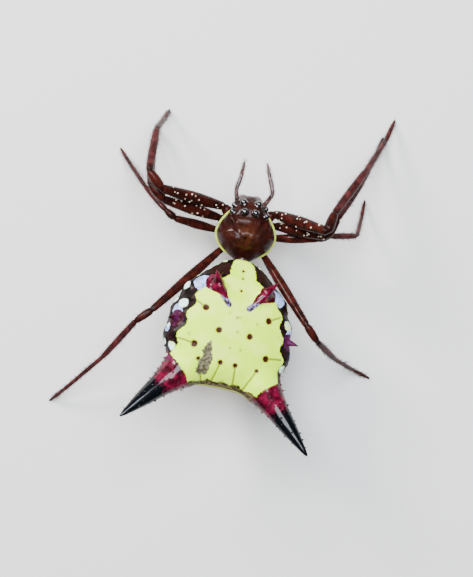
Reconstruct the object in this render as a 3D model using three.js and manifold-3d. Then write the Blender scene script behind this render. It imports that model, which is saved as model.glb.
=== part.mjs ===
// An arrow-shaped orb weaver, female, life size, standing on the floor. Millimetres, +Z up.
// The head points to -Y and the animal's left side is +X. The floor is z = 0.
import * as THREE from "three";
import { mergeVertices } from "three/addons/utils/BufferGeometryUtils.js";
import Module from "manifold-3d";

const wasm = await Module();
wasm.setup();

// Driving dimensions
const GAP = 0.16; // free space between two neighbouring pieces
const CARAPACE_LENGTH = 2.6;
const CARAPACE_HALF_WIDTH = 1.17;
const CARAPACE_FRONT = -1.35; // y of the front edge of the head
const MARGIN_HEIGHT = 2.3; // z of the carapace's widest line
const STERNUM_HEIGHT = 1.7; // z of the flat underside of the cephalothorax
const ABDOMEN_LENGTH = 5.35; // along its own axis, without the spines
const ABDOMEN_HALF_WIDTH = 2.6;
const ABDOMEN_FRONT = [0, 1.2, 3.0]; // where its axis starts, in the body's frame
const ABDOMEN_PITCH = 9; // degrees, rear end up
const ABDOMEN_ROLL = 8; // degrees, back turned towards the animal's right
const ABDOMEN_YAW = 3; // degrees, rear end turned towards the animal's left
const REAR_SPINE_LENGTH = 3.35;
const REAR_SPINE_ROOT = 0.82; // radius where it leaves the abdomen
const TIP_HEIGHT = 0.1; // height of the middle of each foot tip, so that a small flat is cut at the floor
const LEG_SIDES = 9;
const Y_AXIS = new THREE.Vector3(0, 1, 0);
const BLUNTNESS = 0.275; // power that rounds off both ends of a body; the less, the blunter

// Colours from the living animal
const material = (color, roughness) => new THREE.MeshStandardMaterial({ color, roughness, metalness: 0 });
const CHESTNUT = material(0x4a1a12, 0.25);
const LEG_BROWN = material(0x5a241c, 0.4);
const YELLOW = material(0xdfe86a, 0.35);
const CRIMSON_BLACK = material(0x5c0d1e, 0.25);
const DARK_BROWN = material(0x2c1712, 0.4);
const EYE_BLACK = material(0x0b0808, 0.08);

const vector = (p) => new THREE.Vector3(...p);
const radians = THREE.MathUtils.degToRad;

// A unit vector from its bearing (0 along +X, 90 along +Y) and its rise above the horizon, in degrees
function heading(bearing, rise) {
  const flat = Math.cos(radians(rise));
  return new THREE.Vector3(
    flat * Math.cos(radians(bearing)),
    flat * Math.sin(radians(bearing)),
    Math.sin(radians(rise)),
  );
}

// A closed three.js geometry as a solid that can be joined and cut
function solidOf(geometry) {
  const bare = geometry.clone();
  bare.deleteAttribute("normal");
  bare.deleteAttribute("uv");
  const merged = mergeVertices(bare, 1e-4);
  return new wasm.Manifold(
    new wasm.Mesh({
      numProp: 3,
      vertProperties: new Float32Array(merged.attributes.position.array),
      triVerts: new Uint32Array(merged.index.array),
    }),
  );
}

// A solid back as a geometry, keeping only its largest closed surface
function geometryOf(solid) {
  const largest = solid.decompose().reduce((a, b) => (b.volume() > a.volume() ? b : a));
  const { numProp, vertProperties, triVerts } = largest.getMesh();
  const position = new Float32Array((vertProperties.length / numProp) * 3);
  for (let i = 0; i < position.length / 3; i++)
    position.set(vertProperties.subarray(i * numProp, i * numProp + 3), i * 3);
  const geometry = new THREE.BufferGeometry();
  geometry.setAttribute("position", new THREE.BufferAttribute(position, 3));
  geometry.setIndex(new THREE.BufferAttribute(new Uint32Array(triVerts), 1));
  geometry.computeVertexNormals();
  return geometry;
}

function meshOf(name, solid, look) {
  const mesh = new THREE.Mesh(geometryOf(solid), look);
  mesh.name = name;
  return mesh;
}

// Keeps what lies on the side of the plane that its normal points to
const keepSide = (solid, normal, point) => {
  const n = normal.clone().normalize();
  return solid.trimByPlane([n.x, n.y, n.z], n.dot(point));
};

// A round surface about its own +Y axis, from [distance along it, radius] pairs
function lathed(profile, sides) {
  const outline = profile.map(([distance, radius]) => new THREE.Vector2(radius, distance));
  return new THREE.LatheGeometry(outline, sides);
}

const turned = (profile, sides) => solidOf(lathed(profile, sides));

// The same round body carried from its own axis to a place and a direction
const NEARLY_UPRIGHT = 0.98; // z share of a direction past which +X is the reference across it
function turnedAt(profile, sides, place, direction, flatten = 1) {
  const turn = new THREE.Matrix4();
  const upright = Math.abs(direction.z) > NEARLY_UPRIGHT;
  const reference = upright ? new THREE.Vector3(1, 0, 0) : new THREE.Vector3(0, 0, 1);
  const across = new THREE.Vector3().crossVectors(direction, reference).normalize();
  const up = new THREE.Vector3().crossVectors(across, direction).normalize();
  turn.makeBasis(across, direction.clone().normalize(), up.multiplyScalar(flatten));
  turn.setPosition(place);
  return solidOf(lathed(profile, sides).applyMatrix4(turn));
}

// Smooth value at y through [y, value] stations
function along(stations, y) {
  const curve = new THREE.SplineCurve(stations.map(([at, value]) => new THREE.Vector2(at, value)));
  let low = 0;
  let high = 1;
  for (let step = 0; step < 24; step++) {
    const middle = (low + high) / 2;
    if (curve.getPoint(middle).x < y) low = middle;
    else high = middle;
  }
  return curve.getPoint((low + high) / 2).y;
}

// Carapace: half width, top and bottom along y
const CARAPACE_WIDTHS = [
  [CARAPACE_FRONT, 0.42],
  [-1.1, 0.66],
  [-0.65, 0.84],
  [-0.15, 1.09],
  [0.25, CARAPACE_HALF_WIDTH],
  [0.8, 0.98],
  [CARAPACE_FRONT + CARAPACE_LENGTH, 0.42],
];
const CARAPACE_TOPS = [
  [CARAPACE_FRONT, 2.78],
  [-1.0, 3.08],
  [-0.6, 3.1],
  [-0.35, 3.06],
  [0.15, 3.3],
  [0.7, 3.16],
  [CARAPACE_FRONT + CARAPACE_LENGTH, 2.6],
];

// A body whose sections across y are superellipses, closed by a pole at each end
function sectionedBody(form, sides, rings) {
  const { front, rear, halfWidth, top, middle, bottom, roundness, lowRoundness, shift } = form;
  const geometry = new THREE.SphereGeometry(1, sides, rings);
  const position = geometry.attributes.position;
  const ball = new THREE.Vector3();
  for (let i = 0; i < position.count; i++) {
    ball.fromBufferAttribute(position, i); // the sphere's own poles are at its y = +1 and -1
    const y = (front + rear) / 2 + ((rear - front) / 2) * ball.y;
    const ring = Math.sqrt(Math.max(0, 1 - ball.y * ball.y));
    const fullness = Math.pow(ring, 2 * BLUNTNESS);
    const angle = ring > 1e-6 ? Math.atan2(ball.z, ball.x) : 0;
    const power = Math.sin(angle) >= 0 ? roundness : lowRoundness;
    const across = Math.sign(Math.cos(angle)) * Math.pow(Math.abs(Math.cos(angle)), power);
    const upright = Math.sign(Math.sin(angle)) * Math.pow(Math.abs(Math.sin(angle)), power);
    const reach = upright >= 0 ? top(y) - middle(y) : middle(y) - bottom(y);
    const point = new THREE.Vector3(
      halfWidth(y) * across * fullness,
      y,
      middle(y) + reach * upright * fullness,
    );
    if (shift) shift(point, angle);
    position.setXYZ(i, point.x, point.y, point.z);
  }
  return solidOf(geometry);
}

const carapaceForm = {
  front: CARAPACE_FRONT,
  rear: CARAPACE_FRONT + CARAPACE_LENGTH,
  halfWidth: (y) => along(CARAPACE_WIDTHS, y),
  top: (y) => along(CARAPACE_TOPS, y),
  middle: () => MARGIN_HEIGHT,
  bottom: () => STERNUM_HEIGHT - 0.1,
  roundness: 0.85,
  lowRoundness: 0.7,
};

// Height of the carapace's upper skin over a point of the plan
function carapaceSkin(x, y) {
  const half = (carapaceForm.rear - carapaceForm.front) / 2;
  const centre = (carapaceForm.rear + carapaceForm.front) / 2;
  const fullness = Math.pow(Math.max(0, 1 - ((y - centre) / half) ** 2), BLUNTNESS);
  const share = Math.min(1, Math.abs(x) / (carapaceForm.halfWidth(y) * fullness));
  const power = carapaceForm.roundness;
  const cosine = Math.pow(share, 1 / power);
  const sine = Math.sqrt(Math.max(0, 1 - cosine * cosine));
  return MARGIN_HEIGHT + (carapaceForm.top(y) - MARGIN_HEIGHT) * fullness * Math.pow(sine, power);
}

function carapaceNormal(x, y) {
  const step = 0.02;
  const slopeX = (carapaceSkin(x + step, y) - carapaceSkin(x - step, y)) / (2 * step);
  const slopeY = (carapaceSkin(x, y + step) - carapaceSkin(x, y - step)) / (2 * step);
  return new THREE.Vector3(-slopeX, -slopeY, 1).normalize();
}

// Legs. A root for each pair, given for the left side, is where the femur leaves its trochanter.
// Each leg then has a length, a bearing and a rise for each segment, as the photograph shows them.
// The last segment's rise is worked out, so that the foot reaches the floor.
const SEGMENTS = ["femur", "patella", "tibia", "metatarsus", "tarsus"];
const LEG_ROOTS = [
  [1.02, -0.84, 2.2],
  [1.13, -0.38, 2.0],
  [1.14, 0.12, 1.88],
  [0.84, 0.84, 1.9],
];
const LEGS = {
  left_1: {
    lengths: [3.3, 0.85, 2.3, 2.0, 0.9],
    bearings: [-6, -46, -93, -117, -114],
    rises: [36, 10, -41, -70],
  },
  left_2: {
    lengths: [2.9, 0.8, 2.2, 1.5, 0.7],
    bearings: [-8, -40, -87, -96, -92],
    rises: [34, 7, -52, -58],
  },
  left_3: {
    lengths: [1.97, 0.5, 1.5, 1.6, 1.0],
    bearings: [-6, -33, -42, -51, -52],
    rises: [25, 6, -32, -49],
  },
  left_4: {
    lengths: [3.95, 0.78, 2.2, 2.5, 0.9],
    bearings: [49, 43, 57, 50, 48],
    rises: [18, -5, -27, -34],
  },
  right_1: {
    lengths: [2.97, 0.86, 2.65, 2.4, 1.2],
    bearings: [168, -105, -121, -120, -110],
    rises: [46, -24, -33, -47],
  },
  right_2: {
    lengths: [2.5, 0.84, 2.45, 1.9, 0.85],
    bearings: [176, -112, -119, -115, -106],
    rises: [36, -10, -37, -46],
  },
  right_3: {
    lengths: [1.9, 0.52, 1.46, 1.52, 0.88],
    bearings: [-173, -158, -171, -106, -97],
    rises: [25, 5, -36, -58],
  },
  right_4: {
    lengths: [3.75, 0.8, 2.1, 1.95, 0.75],
    bearings: [128, 132, 148, 160, 162],
    rises: [31, -10, -56, -56],
  },
};
for (const [name, leg] of Object.entries(LEGS)) {
  const [x, y, z] = LEG_ROOTS[Number(name.at(-1)) - 1];
  leg.root = [name.startsWith("left") ? x : -x, y, z];
}
// Radius at the near end, the thickest place and the far end of each segment
const SEGMENT_RADII = {
  femur: [0.19, 0.24, 0.21],
  patella: [0.22, 0.25, 0.22],
  tibia: [0.22, 0.24, 0.2],
  metatarsus: [0.2, 0.23, 0.2],
  tarsus: [0.2, 0.21, 0.12],
};
const THIN_LEG = 0.9; // the third pair is more slender than the others

// The six joints of a leg, from its root to its tip
function legJoints({ root, lengths, bearings, rises }) {
  const joints = [vector(root)];
  SEGMENTS.forEach((_, i) => {
    const from = joints[i];
    const drop = from.z - TIP_HEIGHT;
    const rise = i < rises.length ? rises[i] : -THREE.MathUtils.radToDeg(Math.asin(drop / lengths[i]));
    joints.push(from.clone().addScaledVector(heading(bearings[i], rise), lengths[i]));
  });
  return joints;
}

// A tapering segment along +Y from 0 to its length, with round ends that reach past both joints
function segmentShape(length, [near, thick, far]) {
  return turned(
    [
      [-near, 0],
      [-near * 0.7, near * 0.71],
      [0, near],
      [length * 0.35, thick],
      [length * 0.75, (thick + far) / 2],
      [length, far],
      [length + far * 0.7, far * 0.71],
      [length + far, 0],
    ],
    LEG_SIDES,
  );
}

// Direction of the face between two segments that meet at a joint
const facing = (before, after) => before.clone().add(after).normalize();

function buildLeg(name, spec, trochanter) {
  const leg = new THREE.Group();
  leg.position.copy(vector(spec.root));
  const joints = legJoints(spec).map((joint) => joint.sub(leg.position));
  const directions = SEGMENTS.map((_, i) => joints[i + 1].clone().sub(joints[i]).normalize());
  const slender = name.endsWith("3") ? THIN_LEG : 1;
  SEGMENTS.forEach((segment, i) => {
    const length = joints[i].distanceTo(joints[i + 1]);
    const radii = SEGMENT_RADII[segment].map((radius) => radius * slender);
    const turn = new THREE.Quaternion().setFromUnitVectors(Y_AXIS, directions[i]);
    const back = turn.clone().invert();
    const nearFace = facing(i ? directions[i - 1] : trochanter, directions[i]).applyQuaternion(back);
    let solid = segmentShape(length, radii);
    solid = keepSide(solid, nearFace, nearFace.clone().multiplyScalar(GAP / 2));
    if (i < SEGMENTS.length - 1) {
      const farFace = facing(directions[i], directions[i + 1]).applyQuaternion(back).negate();
      const farPoint = new THREE.Vector3(0, length, 0).addScaledVector(farFace, GAP / 2);
      solid = keepSide(solid, farFace, farPoint);
    } else {
      const up = new THREE.Vector3(0, 0, 1).applyQuaternion(back);
      const floor = new THREE.Vector3(0, 0, -(joints[i].z + leg.position.z)).applyQuaternion(back);
      solid = keepSide(solid, up, floor);
    }
    const mesh = meshOf(`leg_${name}_${segment}`, solid, LEG_BROWN);
    mesh.position.copy(joints[i]);
    mesh.quaternion.copy(turn);
    leg.add(mesh);
  });
  return leg;
}

// Coxa and trochanter: a short thick stub from under the carapace to the root of each femur
const COXA_RADIUS = 0.27;
const TROCHANTER_RADIUS = 0.21;
const COXA_INNER = 0.45; // how far from the middle line it starts, as a share of the root's distance
function coxaLine(root) {
  const outer = vector(root);
  const inner = new THREE.Vector3(root[0] * COXA_INNER, root[1] * COXA_INNER + 0.05, STERNUM_HEIGHT + 0.25);
  return { inner, outer, direction: outer.clone().sub(inner).normalize() };
}

function coxaSolid(spec) {
  const { inner, outer, direction } = coxaLine(spec.root);
  const length = inner.distanceTo(outer);
  const stub = turnedAt(
    [
      [-0.2, 0],
      [-0.1, COXA_RADIUS * 0.8],
      [length * 0.3, COXA_RADIUS],
      [length * 0.7, COXA_RADIUS * 0.95],
      [length * 0.78, TROCHANTER_RADIUS],
      [length + 0.1, TROCHANTER_RADIUS],
      [length + 0.2, 0],
    ],
    LEG_SIDES,
    inner,
    direction,
  );
  const femur = heading(spec.bearings[0], spec.rises[0]);
  const face = facing(direction, femur).negate();
  return keepSide(stub, face, outer.clone().addScaledVector(face, GAP / 2));
}

// Eyes: two pairs in the middle of the head and a close pair at each of its corners
const EYES = {
  front_median: { at: [0.29, -1.08], radius: 0.12 },
  rear_median: { at: [0.22, -0.72], radius: 0.12 },
  front_lateral: { at: [0.6, -0.94], radius: 0.1 },
  rear_lateral: { at: [0.66, -0.66], radius: 0.1 },
};
const EYE_STALK = 0.05; // height of the low mound under each eye
const MOUND_DEPTH = 0.3; // the mound with its buried part
const EYE_GAP = 0.06;
const SIDES = { left: 1, right: -1 };

function eyeSeat(eye, side) {
  const x = eye.at[0] * side;
  const y = eye.at[1];
  const normal = carapaceNormal(x, y);
  const skin = new THREE.Vector3(x, y, carapaceSkin(x, y));
  return { normal, top: skin.addScaledVector(normal, EYE_STALK) };
}

function eyeMound(eye, side) {
  const { normal, top } = eyeSeat(eye, side);
  const foot = top.clone().addScaledVector(normal, -MOUND_DEPTH);
  const profile = [
    [0, 0],
    [0, eye.radius * 1.7],
    [MOUND_DEPTH - 0.04, eye.radius * 1.2],
    [MOUND_DEPTH, eye.radius * 0.95],
    [MOUND_DEPTH, 0],
  ];
  return turnedAt(profile, 10, foot, normal);
}

function buildEye(name, eye, side) {
  const { normal, top } = eyeSeat(eye, side);
  const dome = [
    [0, 0],
    [0, eye.radius],
    [eye.radius * 0.5, eye.radius * 0.87],
    [eye.radius * 0.87, eye.radius * 0.5],
    [eye.radius, 0],
  ];
  const lens = meshOf(name, turned(dome, 10), EYE_BLACK);
  lens.position.copy(top).addScaledVector(normal, EYE_GAP);
  lens.quaternion.setFromUnitVectors(Y_AXIS, normal);
  return lens;
}

// Chelicerae hang from a flat under the front of the head, each with a short fang turned inwards
const CHELICERA = { x: 0.27, y: -1.08, radius: 0.25, length: 0.85, lean: 12 };
// Each palp has three stretches, each with a bearing, a rise and a length
const PALP = {
  root: [0.5, -1.0, 2.3],
  left: [[-72, 38, 0.73], [-103, 0, 0.56], [-97, -32, 0.82]],
  right: [[-118, 34, 0.83], [-70, 0, 0.66], [-75, -38, 0.74]],
  radii: [0.17, 0.19, 0.18, 0.1],
};
const HEAD_UNDERSIDE = 2.16; // z of the flat under the front of the head

function cheliceraSolid(side) {
  const lean = radians(CHELICERA.lean);
  const direction = new THREE.Vector3(0, -Math.sin(lean), -Math.cos(lean));
  const root = new THREE.Vector3(CHELICERA.x * side, CHELICERA.y, HEAD_UNDERSIDE + 0.2);
  const { radius, length } = CHELICERA;
  const base = turnedAt(
    [
      [0, 0],
      [0, radius * 0.85],
      [length * 0.45, radius],
      [length * 0.85, radius * 0.8],
      [length + 0.12, radius * 0.4],
      [length + 0.16, 0],
    ],
    12,
    root,
    direction,
  );
  const fangRoot = root.clone().addScaledVector(direction, length);
  const fangLine = new THREE.Vector3(-0.35 * side, 0.55, -0.75).normalize();
  const fang = turnedAt(
    [
      [-0.12, 0],
      [-0.1, 0.12],
      [0.3, 0.03],
      [0.36, 0],
    ],
    8,
    fangRoot,
    fangLine,
  );
  const below = new THREE.Vector3(0, 0, HEAD_UNDERSIDE - GAP);
  const hanging = keepSide(base.add(fang), new THREE.Vector3(0, 0, -1), below);
  const outward = new THREE.Vector3(side, 0, 0);
  return keepSide(hanging, outward, outward.clone().multiplyScalar(GAP / 2));
}

// The feeler-like palps rise beside the chelicerae and reach forward
function palpJoints(sideName) {
  const side = SIDES[sideName];
  const joints = [new THREE.Vector3(PALP.root[0] * side, PALP.root[1], PALP.root[2])];
  PALP[sideName].forEach(([bearing, rise, length], i) => {
    joints.push(joints[i].clone().addScaledVector(heading(bearing, rise), length));
  });
  return joints;
}

function palpSolid(sideName) {
  const joints = palpJoints(sideName);
  let palp;
  PALP[sideName].forEach(([, , length], i) => {
    const direction = joints[i + 1].clone().sub(joints[i]).normalize();
    const near = PALP.radii[i];
    const far = PALP.radii[i + 1];
    const piece = turnedAt(
      [
        [-near, 0],
        [-near * 0.6, near * 0.8],
        [0, near],
        [length * 0.5, (near + far) / 2 + 0.02],
        [length, far],
        [length + far * 0.6, far * 0.8],
        [length + far, 0],
      ],
      LEG_SIDES,
      joints[i],
      direction,
    );
    palp = palp ? palp.add(piece) : piece;
  });
  const first = joints[1].clone().sub(joints[0]).normalize();
  return keepSide(palp, first, joints[0].clone().addScaledVector(first, GAP / 2));
}

// The stub of the head that a palp grows from
const PALP_SOCKET = { length: 0.45, radius: 0.16 };
function palpSocket(sideName) {
  const joints = palpJoints(sideName);
  const direction = joints[1].clone().sub(joints[0]).normalize();
  const stub = turnedAt(
    [
      [-PALP_SOCKET.length, 0],
      [-PALP_SOCKET.length, PALP_SOCKET.radius],
      [0, PALP_SOCKET.radius],
      [0, 0],
    ],
    LEG_SIDES,
    joints[0],
    direction,
  );
  return keepSide(stub, direction.clone().negate(), joints[0].clone().addScaledVector(direction, -GAP / 2));
}

function cephalothoraxSolid() {
  let body = sectionedBody(carapaceForm, 30, 20);
  body = keepSide(body, new THREE.Vector3(0, 0, 1), new THREE.Vector3(0, 0, STERNUM_HEIGHT));
  const headCut = solidOf(new THREE.BoxGeometry(1.6, 1, 1)).translate([0, -1.25, HEAD_UNDERSIDE - 0.5]);
  body = body.subtract(headCut);
  for (const spec of Object.values(LEGS)) body = body.add(coxaSolid(spec));
  for (const side of Object.values(SIDES))
    for (const eye of Object.values(EYES)) body = body.add(eyeMound(eye, side));
  for (const sideName of Object.keys(SIDES)) body = body.add(palpSocket(sideName));
  // A flat at the rear, where the pedicel meets it
  return keepSide(body, new THREE.Vector3(0, -1, 0), new THREE.Vector3(0, PEDICEL.front, 0));
}

// Abdomen, in its own frame: the axis runs along +Y from its front end
const ABDOMEN_WIDTHS = [
  [0, 0.95],
  [0.5, 1.5],
  [1.3, 2.12],
  [2.4, 2.42],
  [3.9, ABDOMEN_HALF_WIDTH],
  [ABDOMEN_LENGTH, 2.3],
];
const ABDOMEN_TOPS = [
  [0, 0.4],
  [0.8, 0.78],
  [2.2, 1.0],
  [4.0, 1.0],
  [4.9, 0.85],
  [ABDOMEN_LENGTH, 0.4],
];
const ABDOMEN_BOTTOMS = [
  [0, -0.6],
  [0.9, -1.2],
  [2.2, -2.15],
  [3.2, -1.85],
  [4.4, -0.95],
  [ABDOMEN_LENGTH, -0.6],
];
const REAR_NOTCH = { start: 3.2, depth: 0.3 }; // the corners reach further back than the middle
// Lobes along the edge, which is where the cosine of the angle round a section is about 0.9
const LOBES = { depth: 0.04, aSide: 5, at: 0.9, breadth: 0.14 };

function shapeAbdomenEdge(point, angle) {
  const back = THREE.MathUtils.smoothstep(point.y, REAR_NOTCH.start, ABDOMEN_LENGTH);
  point.y += back * REAR_NOTCH.depth * ((point.x / 1.5) ** 2 - 0.4);
  const fromEdge = (Math.abs(Math.cos(angle)) - LOBES.at) / LOBES.breadth;
  const atEdge = Math.sin(angle) > -0.2 ? Math.exp(-(fromEdge ** 2)) : 0;
  const wave = Math.sin((point.y / ABDOMEN_LENGTH) * LOBES.aSide * 2 * Math.PI);
  point.x *= 1 + atEdge * LOBES.depth * wave;
}

const abdomenForm = {
  front: 0,
  rear: ABDOMEN_LENGTH,
  halfWidth: (y) => along(ABDOMEN_WIDTHS, y),
  top: (y) => along(ABDOMEN_TOPS, y),
  middle: () => 0,
  bottom: (y) => along(ABDOMEN_BOTTOMS, y),
  roundness: 0.78,
  lowRoundness: 1.12,
  shift: shapeAbdomenEdge,
};

// Spines of the left side: root, bearing and rise in the abdomen's frame, length and root radius
const FRONT_SPINE = { root: [0.85, 1.4, 0.6], bearing: -54, rise: 50, length: 1.15, radius: 0.4 };
const MIDDLE_SPINE = { root: [2.05, 2.85, 0.35], bearing: 12, rise: 32, length: 0.85, radius: 0.34 };
const REAR_SPINE = {
  root: [1.68, 4.82, 0.15],
  bearing: 48,
  rise: 13,
  length: REAR_SPINE_LENGTH,
  radius: REAR_SPINE_ROOT,
};
const REAR_SPINE_START = 0.72; // distance along the rear spine at which it becomes its own piece
const REAR_SPINE_FLAT = 0.82; // its height as a share of its width

// A thorn whose sides are hollow, so that it flares into its root
const thornProfile = (length, radius) => [
  [-radius * 0.9, 0],
  [-radius * 0.9, radius * 1.02],
  [0, radius],
  [length * 0.15, radius * 0.8],
  [length * 0.35, radius * 0.58],
  [length * 0.6, radius * 0.4],
  [length * 0.82, radius * 0.22],
  [length * 0.97, radius * 0.06],
  [length, 0],
];

function spineSolid(spine, side, sides, flatten = 1) {
  const bearing = side > 0 ? spine.bearing : 180 - spine.bearing;
  const place = new THREE.Vector3(spine.root[0] * side, spine.root[1], spine.root[2]);
  const direction = heading(bearing, spine.rise);
  const solid = turnedAt(thornProfile(spine.length, spine.radius), sides, place, direction, flatten);
  return { solid, place, direction };
}

// The rear spine's root stays with the abdomen and the rest is a piece of its own
function rearSpine(side) {
  const { solid, place, direction } = spineSolid(REAR_SPINE, side, 16, REAR_SPINE_FLAT);
  const cut = place.clone().addScaledVector(direction, REAR_SPINE_START);
  return {
    root: keepSide(solid, direction.clone().negate(), cut.clone().addScaledVector(direction, -GAP / 2)),
    thorn: keepSide(solid, direction, cut.clone().addScaledVector(direction, GAP / 2)),
  };
}

// Spinnerets: a short turret under the abdomen with three small cones
const SPINNERET = { y: 2.2, face: -2.0, radius: 0.36, height: 0.26, cones: [-90, 30, 150] };

function abdomenSolid() {
  let body = sectionedBody(abdomenForm, 40, 26);
  for (const side of Object.values(SIDES)) {
    body = body.add(spineSolid(FRONT_SPINE, side, 12).solid);
    body = body.add(spineSolid(MIDDLE_SPINE, side, 12).solid);
    body = body.add(rearSpine(side).root);
  }
  return keepSide(body, new THREE.Vector3(0, 0, 1), new THREE.Vector3(0, 0, SPINNERET.face));
}

function spinneretSolid() {
  const down = new THREE.Vector3(0, 0, -1);
  const top = new THREE.Vector3(0, SPINNERET.y, SPINNERET.face - GAP);
  const { radius, height } = SPINNERET;
  let turret = turnedAt(
    [
      [0, 0],
      [0, radius],
      [height * 0.7, radius * 0.9],
      [height, radius * 0.6],
      [height, 0],
    ],
    14,
    top,
    down,
  );
  for (const bearing of SPINNERET.cones) {
    const foot = top.clone().addScaledVector(heading(bearing, 0), radius * 0.45);
    foot.z -= height * 0.6;
    const cone = turnedAt(
      [
        [0, 0],
        [0, radius * 0.42],
        [0.16, radius * 0.3],
        [0.24, radius * 0.1],
        [0.26, 0],
      ],
      8,
      foot,
      down,
    );
    turret = turret.add(cone);
  }
  return turret;
}

// Pedicel: the narrow waist between the two halves of the body
const PEDICEL = { front: 1.17, radius: 0.25, height: 2.42 };
const WAIST_END = 1.75; // y that the waist reaches to, under the front of the abdomen

const abdomenPlace = new THREE.Matrix4()
  .makeTranslation(...ABDOMEN_FRONT)
  .multiply(new THREE.Matrix4().makeRotationZ(-radians(ABDOMEN_YAW)))
  .multiply(new THREE.Matrix4().makeRotationX(radians(ABDOMEN_PITCH)))
  .multiply(new THREE.Matrix4().makeRotationY(-radians(ABDOMEN_ROLL)));

// A slightly grown copy of the abdomen, to cut the waist clear of it
function abdomenClearance() {
  const form = {
    ...abdomenForm,
    front: -GAP,
    halfWidth: (y) => along(ABDOMEN_WIDTHS, Math.max(y, 0)) + GAP,
    top: (y) => along(ABDOMEN_TOPS, Math.max(y, 0)) + GAP,
    bottom: (y) => along(ABDOMEN_BOTTOMS, Math.max(y, 0)) - GAP,
    shift: undefined,
  };
  return sectionedBody(form, 30, 20).transform(abdomenPlace.toArray());
}

function pedicelSolid() {
  const start = new THREE.Vector3(0, PEDICEL.front + GAP, PEDICEL.height);
  const length = WAIST_END - start.y;
  const waist = turnedAt(
    [
      [0, 0],
      [0, PEDICEL.radius],
      [length, PEDICEL.radius * 0.9],
      [length, 0],
    ],
    12,
    start,
    new THREE.Vector3(0, 1, 0),
  );
  return waist.subtract(abdomenClearance());
}

// The whole animal
const spider = new THREE.Group();
spider.add(meshOf("cephalothorax", cephalothoraxSolid(), CHESTNUT));
spider.add(meshOf("pedicel", pedicelSolid(), DARK_BROWN));
for (const [sideName, side] of Object.entries(SIDES)) {
  spider.add(meshOf(`chelicera_${sideName}`, cheliceraSolid(side), CHESTNUT));
  spider.add(meshOf(`palp_${sideName}`, palpSolid(sideName), LEG_BROWN));
  for (const [eyeName, eye] of Object.entries(EYES))
    spider.add(buildEye(`eye_${eyeName}_${sideName}`, eye, side));
}
for (const [name, spec] of Object.entries(LEGS))
  spider.add(buildLeg(name, spec, coxaLine(spec.root).direction));

const rearBody = new THREE.Group();
rearBody.applyMatrix4(abdomenPlace);
rearBody.add(meshOf("abdomen", abdomenSolid(), YELLOW));
rearBody.add(meshOf("spinnerets", spinneretSolid(), DARK_BROWN));
for (const [sideName, side] of Object.entries(SIDES))
  rearBody.add(meshOf(`spine_rear_${sideName}`, rearSpine(side).thorn, CRIMSON_BLACK));
spider.add(rearBody);

// The origin is the middle of the footprint, on the floor
const standing = new THREE.Group();
standing.add(spider);
standing.updateMatrixWorld(true);
const extent = new THREE.Box3().setFromObject(spider, true);
spider.position.set(-(extent.min.x + extent.max.x) / 2, -(extent.min.y + extent.max.y) / 2, 0);

export default standing;
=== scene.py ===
# %% [markdown]
# This lesson dresses a life-size model of a spiny orb weaver, a spider not much over a centimetre
# across its legs. The solids come from a CAD frame, which stays where it is. Every new skin is a surface
# worked out with numpy in millimetres, and is brought to metres only when its mesh is made.

# %% Load the frame
import math

import bpy
import numpy as np
from mathutils import Matrix, Vector


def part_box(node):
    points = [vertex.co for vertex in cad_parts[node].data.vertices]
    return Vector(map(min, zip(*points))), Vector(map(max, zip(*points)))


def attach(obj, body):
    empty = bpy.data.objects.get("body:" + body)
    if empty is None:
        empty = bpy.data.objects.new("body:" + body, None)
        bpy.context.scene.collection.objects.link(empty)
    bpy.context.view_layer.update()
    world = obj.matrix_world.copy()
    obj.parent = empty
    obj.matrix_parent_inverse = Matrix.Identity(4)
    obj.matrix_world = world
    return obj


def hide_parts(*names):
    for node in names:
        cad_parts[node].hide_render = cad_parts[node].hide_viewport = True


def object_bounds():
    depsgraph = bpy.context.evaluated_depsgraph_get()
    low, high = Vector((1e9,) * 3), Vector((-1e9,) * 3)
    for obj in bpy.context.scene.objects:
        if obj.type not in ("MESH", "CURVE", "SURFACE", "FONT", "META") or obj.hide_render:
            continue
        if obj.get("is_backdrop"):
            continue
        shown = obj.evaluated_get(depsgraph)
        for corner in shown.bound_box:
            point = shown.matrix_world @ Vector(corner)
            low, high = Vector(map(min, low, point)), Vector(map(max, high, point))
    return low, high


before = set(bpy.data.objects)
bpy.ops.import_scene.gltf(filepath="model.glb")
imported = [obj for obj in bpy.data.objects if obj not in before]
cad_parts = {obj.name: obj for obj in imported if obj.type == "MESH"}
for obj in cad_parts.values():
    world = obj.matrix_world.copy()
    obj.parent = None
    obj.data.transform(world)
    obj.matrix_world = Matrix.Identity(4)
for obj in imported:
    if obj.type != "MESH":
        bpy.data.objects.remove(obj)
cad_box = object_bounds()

MM = 0.001  # metres in a millimetre


def in_mm(corners):
    """The corners of a box in millimetres, for printing."""
    return [[round(value / MM, 2) for value in corner] for corner in corners]


print("frame:", len(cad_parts), "nodes, box in mm", in_mm(cad_box))

# %% [markdown]
# The body was designed round a point on the floor under the middle of the carapace. The waist is a
# plain round piece that starts 1.33 mm behind that point, so its box tells where the point lies in
# the frame. All places below are millimetres from there: x to the animal's left, y to its rear.

# %% Find the body's own origin
WAIST_START = 1.33
waist_low, waist_high = (np.array(corner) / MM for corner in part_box("pedicel"))
ORIGIN = np.array([(waist_low[0] + waist_high[0]) / 2, waist_low[1] - WAIST_START, 0.0])
print("body origin in the frame, mm:", ORIGIN.round(3))

# %% [markdown]
# The photograph looks down on the animal's back from straight above, a little from its left, with
# the body turned in the picture. A long lens at ten centimetres keeps the perspective as flat as
# the photograph's. The camera's axes are worked out first and then put into its matrix.

# %% Camera
PHOTO_HEIGHT = 577
FOCAL_PIXELS = 2500.0
SENSOR = 36.0
CAMERA_DISTANCE = 100.0
CAMERA_TILT = math.radians(4.0)
CAMERA_ROLL = math.radians(8.5)
LOOK_AT = np.array([0.056, 2.34, 2.5])


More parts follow.
